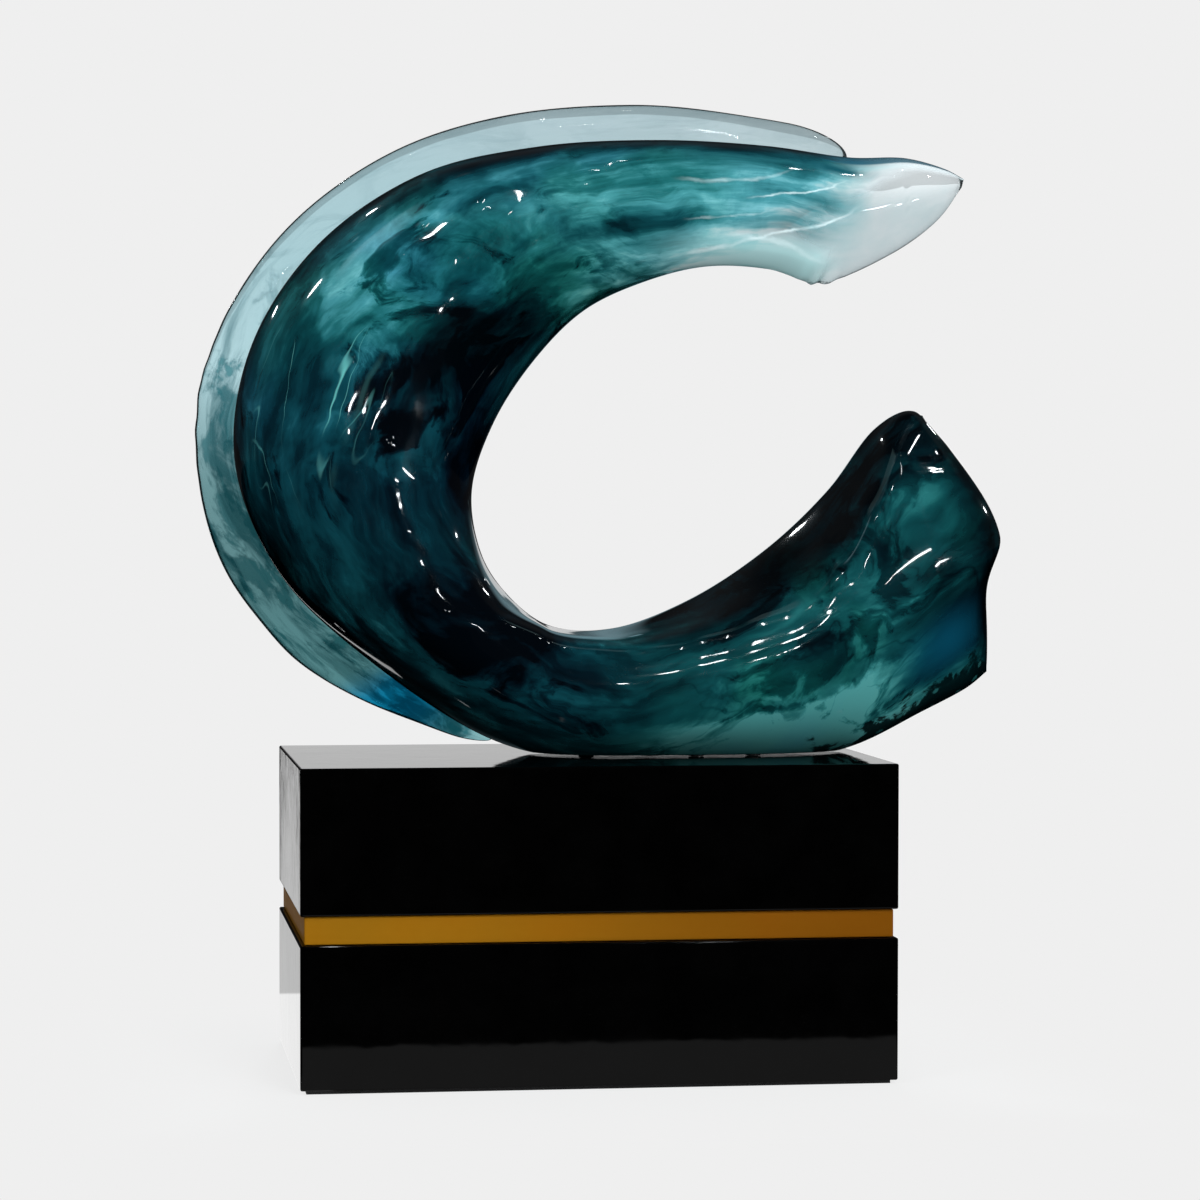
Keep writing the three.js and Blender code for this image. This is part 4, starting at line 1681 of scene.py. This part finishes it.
@dataclass
class Studio:
    """The pale floor, the soft light and the camera."""

    backdrop: float = 0.863
    backlight: float = 1.30
    beyond: float = 0.78
    dark: float = 0.012
    sheen: float = 0.03
    low_sky: Band = Band((0.03, 0.05), (0.10, 0.118))
    high_sky: Band = Band((0.35, 0.60), (0.60, 0.85))
    floor_reach: float = 4.0
    lens: float = 93.93
    camera_spot: Triple = (-0.24025, -1.5, 0.26372)
    camera_yaw: float = -0.1086
    camera_pitch: float = -0.0256
    camera_shift: float = 0.15
    camera_reach: Pair = (0.05, 50.0)
    cards: tuple[Card, ...] = (
        Card("low_card", (0.17, 0.80, 0.40), (0.32, 0.13), (1.0, 0.0, 0.0), (0.0, 0.0, 1.0), 0.40),
        Card("shoulder_card", (-0.30, -0.02, 0.73), (0.15, 0.10), (0.85, 0.0, 0.53), (0.0, 1.0, 0.0), 2.2),
    )
    aim: Triple = (0.02, 0.0, 0.28)
    lamp_colour: Colour = (0.93, 0.98, 1.0)
    lamps: tuple[SoftBox, ...] = (
        SoftBox("fill_front", (-0.25, -1.7, 0.15), 1.2, 0.6, 11.0, mirrored=False),
        SoftBox("fill_left", (-1.2, -1.0, 1.2), 0.5, 0.5, 10.0, mirrored=False),
        SoftBox("fill_top", (0.35, -1.3, 1.1), 0.7, 0.5, 16.0, mirrored=False),
        SoftBox("fill_right", (1.3, -1.1, 0.9), 0.5, 0.5, 7.0, mirrored=False),
        SoftBox("fill_rear", (0.1, 1.7, 1.1), 0.5, 0.5, 20.0, mirrored=False),
        SoftBox("arm_long", (0.19, -1.31, 0.98), 0.11, 0.022, 0.34, (-0.10, 0.09, 0.18)),
        SoftBox("arm_upper", (0.02, -0.45, 1.60), 0.36, 0.018, 0.8, (0.10, -0.84, -0.21)),
        SoftBox("arm_high", (1.00, -1.23, 0.565), 0.16, 0.022, 0.60, (0.17, 0.12, 0.03)),
        SoftBox("arm_low", (1.28, -0.97, 0.42), 0.42, 0.028, 1.7, (0.47, 0.54, 0.11)),
        SoftBox("rear_left", (-0.75, 1.20, 0.85), 0.10, 0.025, 0.34, (0.84, 0.53, 0.0)),
        SoftBox("rear_right", (0.95, 1.05, 0.80), 0.10, 0.025, 0.34, (0.74, -0.67, 0.0)),
        SoftBox("shoulder", (-1.15, 0.50, 1.33), 0.09, 0.05, 0.6),
        SoftBox("star", (0.34, -1.46, 0.60), 0.05, 0.036, 0.36),
        SoftBox("arch", (0.25, -0.07, 1.91), 0.025, 0.015, 0.06),
    )
    spots: tuple[Triple, ...] = (
        (-0.43, -0.65, 1.72), (-0.53, -1.40, 0.84), (0.72, -0.08, 1.70), (1.12, -0.18, 1.45),
        (1.38, 0.81, 0.69), (-0.50, 1.00, 1.30),
    )
    spot_size: float = 0.045
    spot_watts: float = 0.35

    def build(self) -> None:
        """Sets up the whole studio."""
        self._floor()
        for card in self.cards:
            self._card(card)
        self._world()
        self._camera()
        for lamp in self.lamps:
            self._lamp(lamp)
        for number, spot in enumerate(self.spots):
            self._lamp(SoftBox(f"spot_{number}", spot, self.spot_size, self.spot_size, self.spot_watts))
        settings = bpy.context.scene.view_settings
        settings.view_transform = "Standard"
        settings.look = "None"

    def _floor(self) -> None:
        """Lays the pale floor."""
        shape = bmesh.new()
        bmesh.ops.create_grid(shape, x_segments=1, y_segments=1, size=self.floor_reach)
        floor = stand_mesh("floor", shape, PaleFloor(self.backdrop, self.beyond))

    def _card(self, card: Card) -> None:
        """Stands one card, which only polished faces see.

        Args:
            card: The card.
        """
        shape = bmesh.new()
        shape.loops.layers.uv.new("UVMap")
        along, across = Vector(card.along).normalized(), Vector(card.across).normalized()
        lie = Matrix((along, across, along.cross(across))).transposed().to_4x4()
        place = Matrix.Translation(card.spot) @ lie @ Matrix.Diagonal((*card.half, 1.0, 1.0))
        bmesh.ops.create_grid(shape, x_segments=1, y_segments=1, size=1.0, matrix=place, calc_uvs=True)
        stand = stand_mesh(card.name, shape, CardGlow(card.name, card.glow))
        stand.visible_camera = False
        stand.visible_diffuse = False
        stand.visible_transmission = False
        stand.visible_shadow = False

    def _world(self) -> None:
        """Surrounds the object with a pale backdrop, mirrored low behind it and seen through clear resin."""
        world = bpy.data.worlds.new("studio")
        bpy.context.scene.world = world
        graph = NodeGraph.inside(world)
        x, y, z = graph.value("TexCoord", output="Generated").parts()
        low = z.band(self.low_sky) * y.span(0.90, 0.95) * x.span(0.0, 0.05)
        high = z.band(self.high_sky) * y.span(0.15, 0.50, 0.0, self.sheen)
        mirrored = low.span(0.0, 1.0, self.dark, self.beyond) + high
        through_resin = y.span(-0.50, 0.12, 0.22, self.backlight).most(y.fade(-0.85, -0.60, 0.9))
        soft = y.span(-0.2, 0.8, 0.10, 0.60) + z.span(0.2, 0.9, 0.0, 0.35)
        light = graph.ray("Is Diffuse Ray").choose(mirrored, soft)
        light = graph.ray("Is Transmission Ray").choose(light, through_resin)
        light = graph.ray("Is Camera Ray").choose(light, self.backdrop)
        background = graph.value("Background", {"Color": WHITE, "Strength": light})
        graph.node("OutputWorld", {"Surface": background})

    def _camera(self) -> None:
        """Stands the camera at the photograph's angle."""
        lens = bpy.data.cameras.new("camera")
        lens.lens = self.lens
        lens.shift_x = self.camera_shift
        lens.clip_start, lens.clip_end = self.camera_reach
        camera = bpy.data.objects.new("camera", lens)
        flat, rise = math.cos(self.camera_pitch), math.sin(self.camera_pitch)
        ahead = Vector((-math.sin(self.camera_yaw) * flat, math.cos(self.camera_yaw) * flat, rise))
        camera.location = self.camera_spot
        camera.rotation_euler = ahead.to_track_quat("-Z", "Y").to_euler()
        bpy.context.scene.collection.objects.link(camera)
        bpy.context.scene.camera = camera

    def _lamp(self, lamp: SoftBox) -> None:
        """Stands one lamp, turned towards the object.

        Args:
            lamp: The lamp.
        """
        light = bpy.data.lights.new(lamp.name, "AREA")
        light.shape = "ELLIPSE"
        light.size, light.size_y = lamp.width, lamp.height
        light.energy = lamp.watts
        light.color = self.lamp_colour
        stand = bpy.data.objects.new(lamp.name, light)
        stand.location = lamp.spot
        back = (Vector(lamp.spot) - Vector(self.aim)).normalized()
        wide = Vector(lamp.along)
        wide = (wide - back * wide.dot(back)).normalized()
        stand.rotation_euler = Matrix((wide, back.cross(wide), back)).transposed().to_euler()
        stand.visible_camera = False
        stand.visible_transmission = False
        stand.visible_glossy = lamp.mirrored
        bpy.context.scene.collection.objects.link(stand)


def main() -> None:
    """Builds the sculpture piece by piece, then the studio round it."""
    logging.basicConfig(level=logging.INFO, format="%(name)s %(message)s")
    line = WaveLine()
    lacquer = BlackLacquer()
    WaveBody(line, MarbledResin()).build()
    RearCrest(line, ClearResin()).build()
    PlinthBlock("upper", *UPPER_BLOCK, lacquer).build()
    GoldBand(PolishedGold()).build()
    PlinthBlock("lower", *LOWER_BLOCK, lacquer).build()
    Fittings().dress(frame["nodes"])
    Studio().build()


if __name__ == "__main__":
    main()
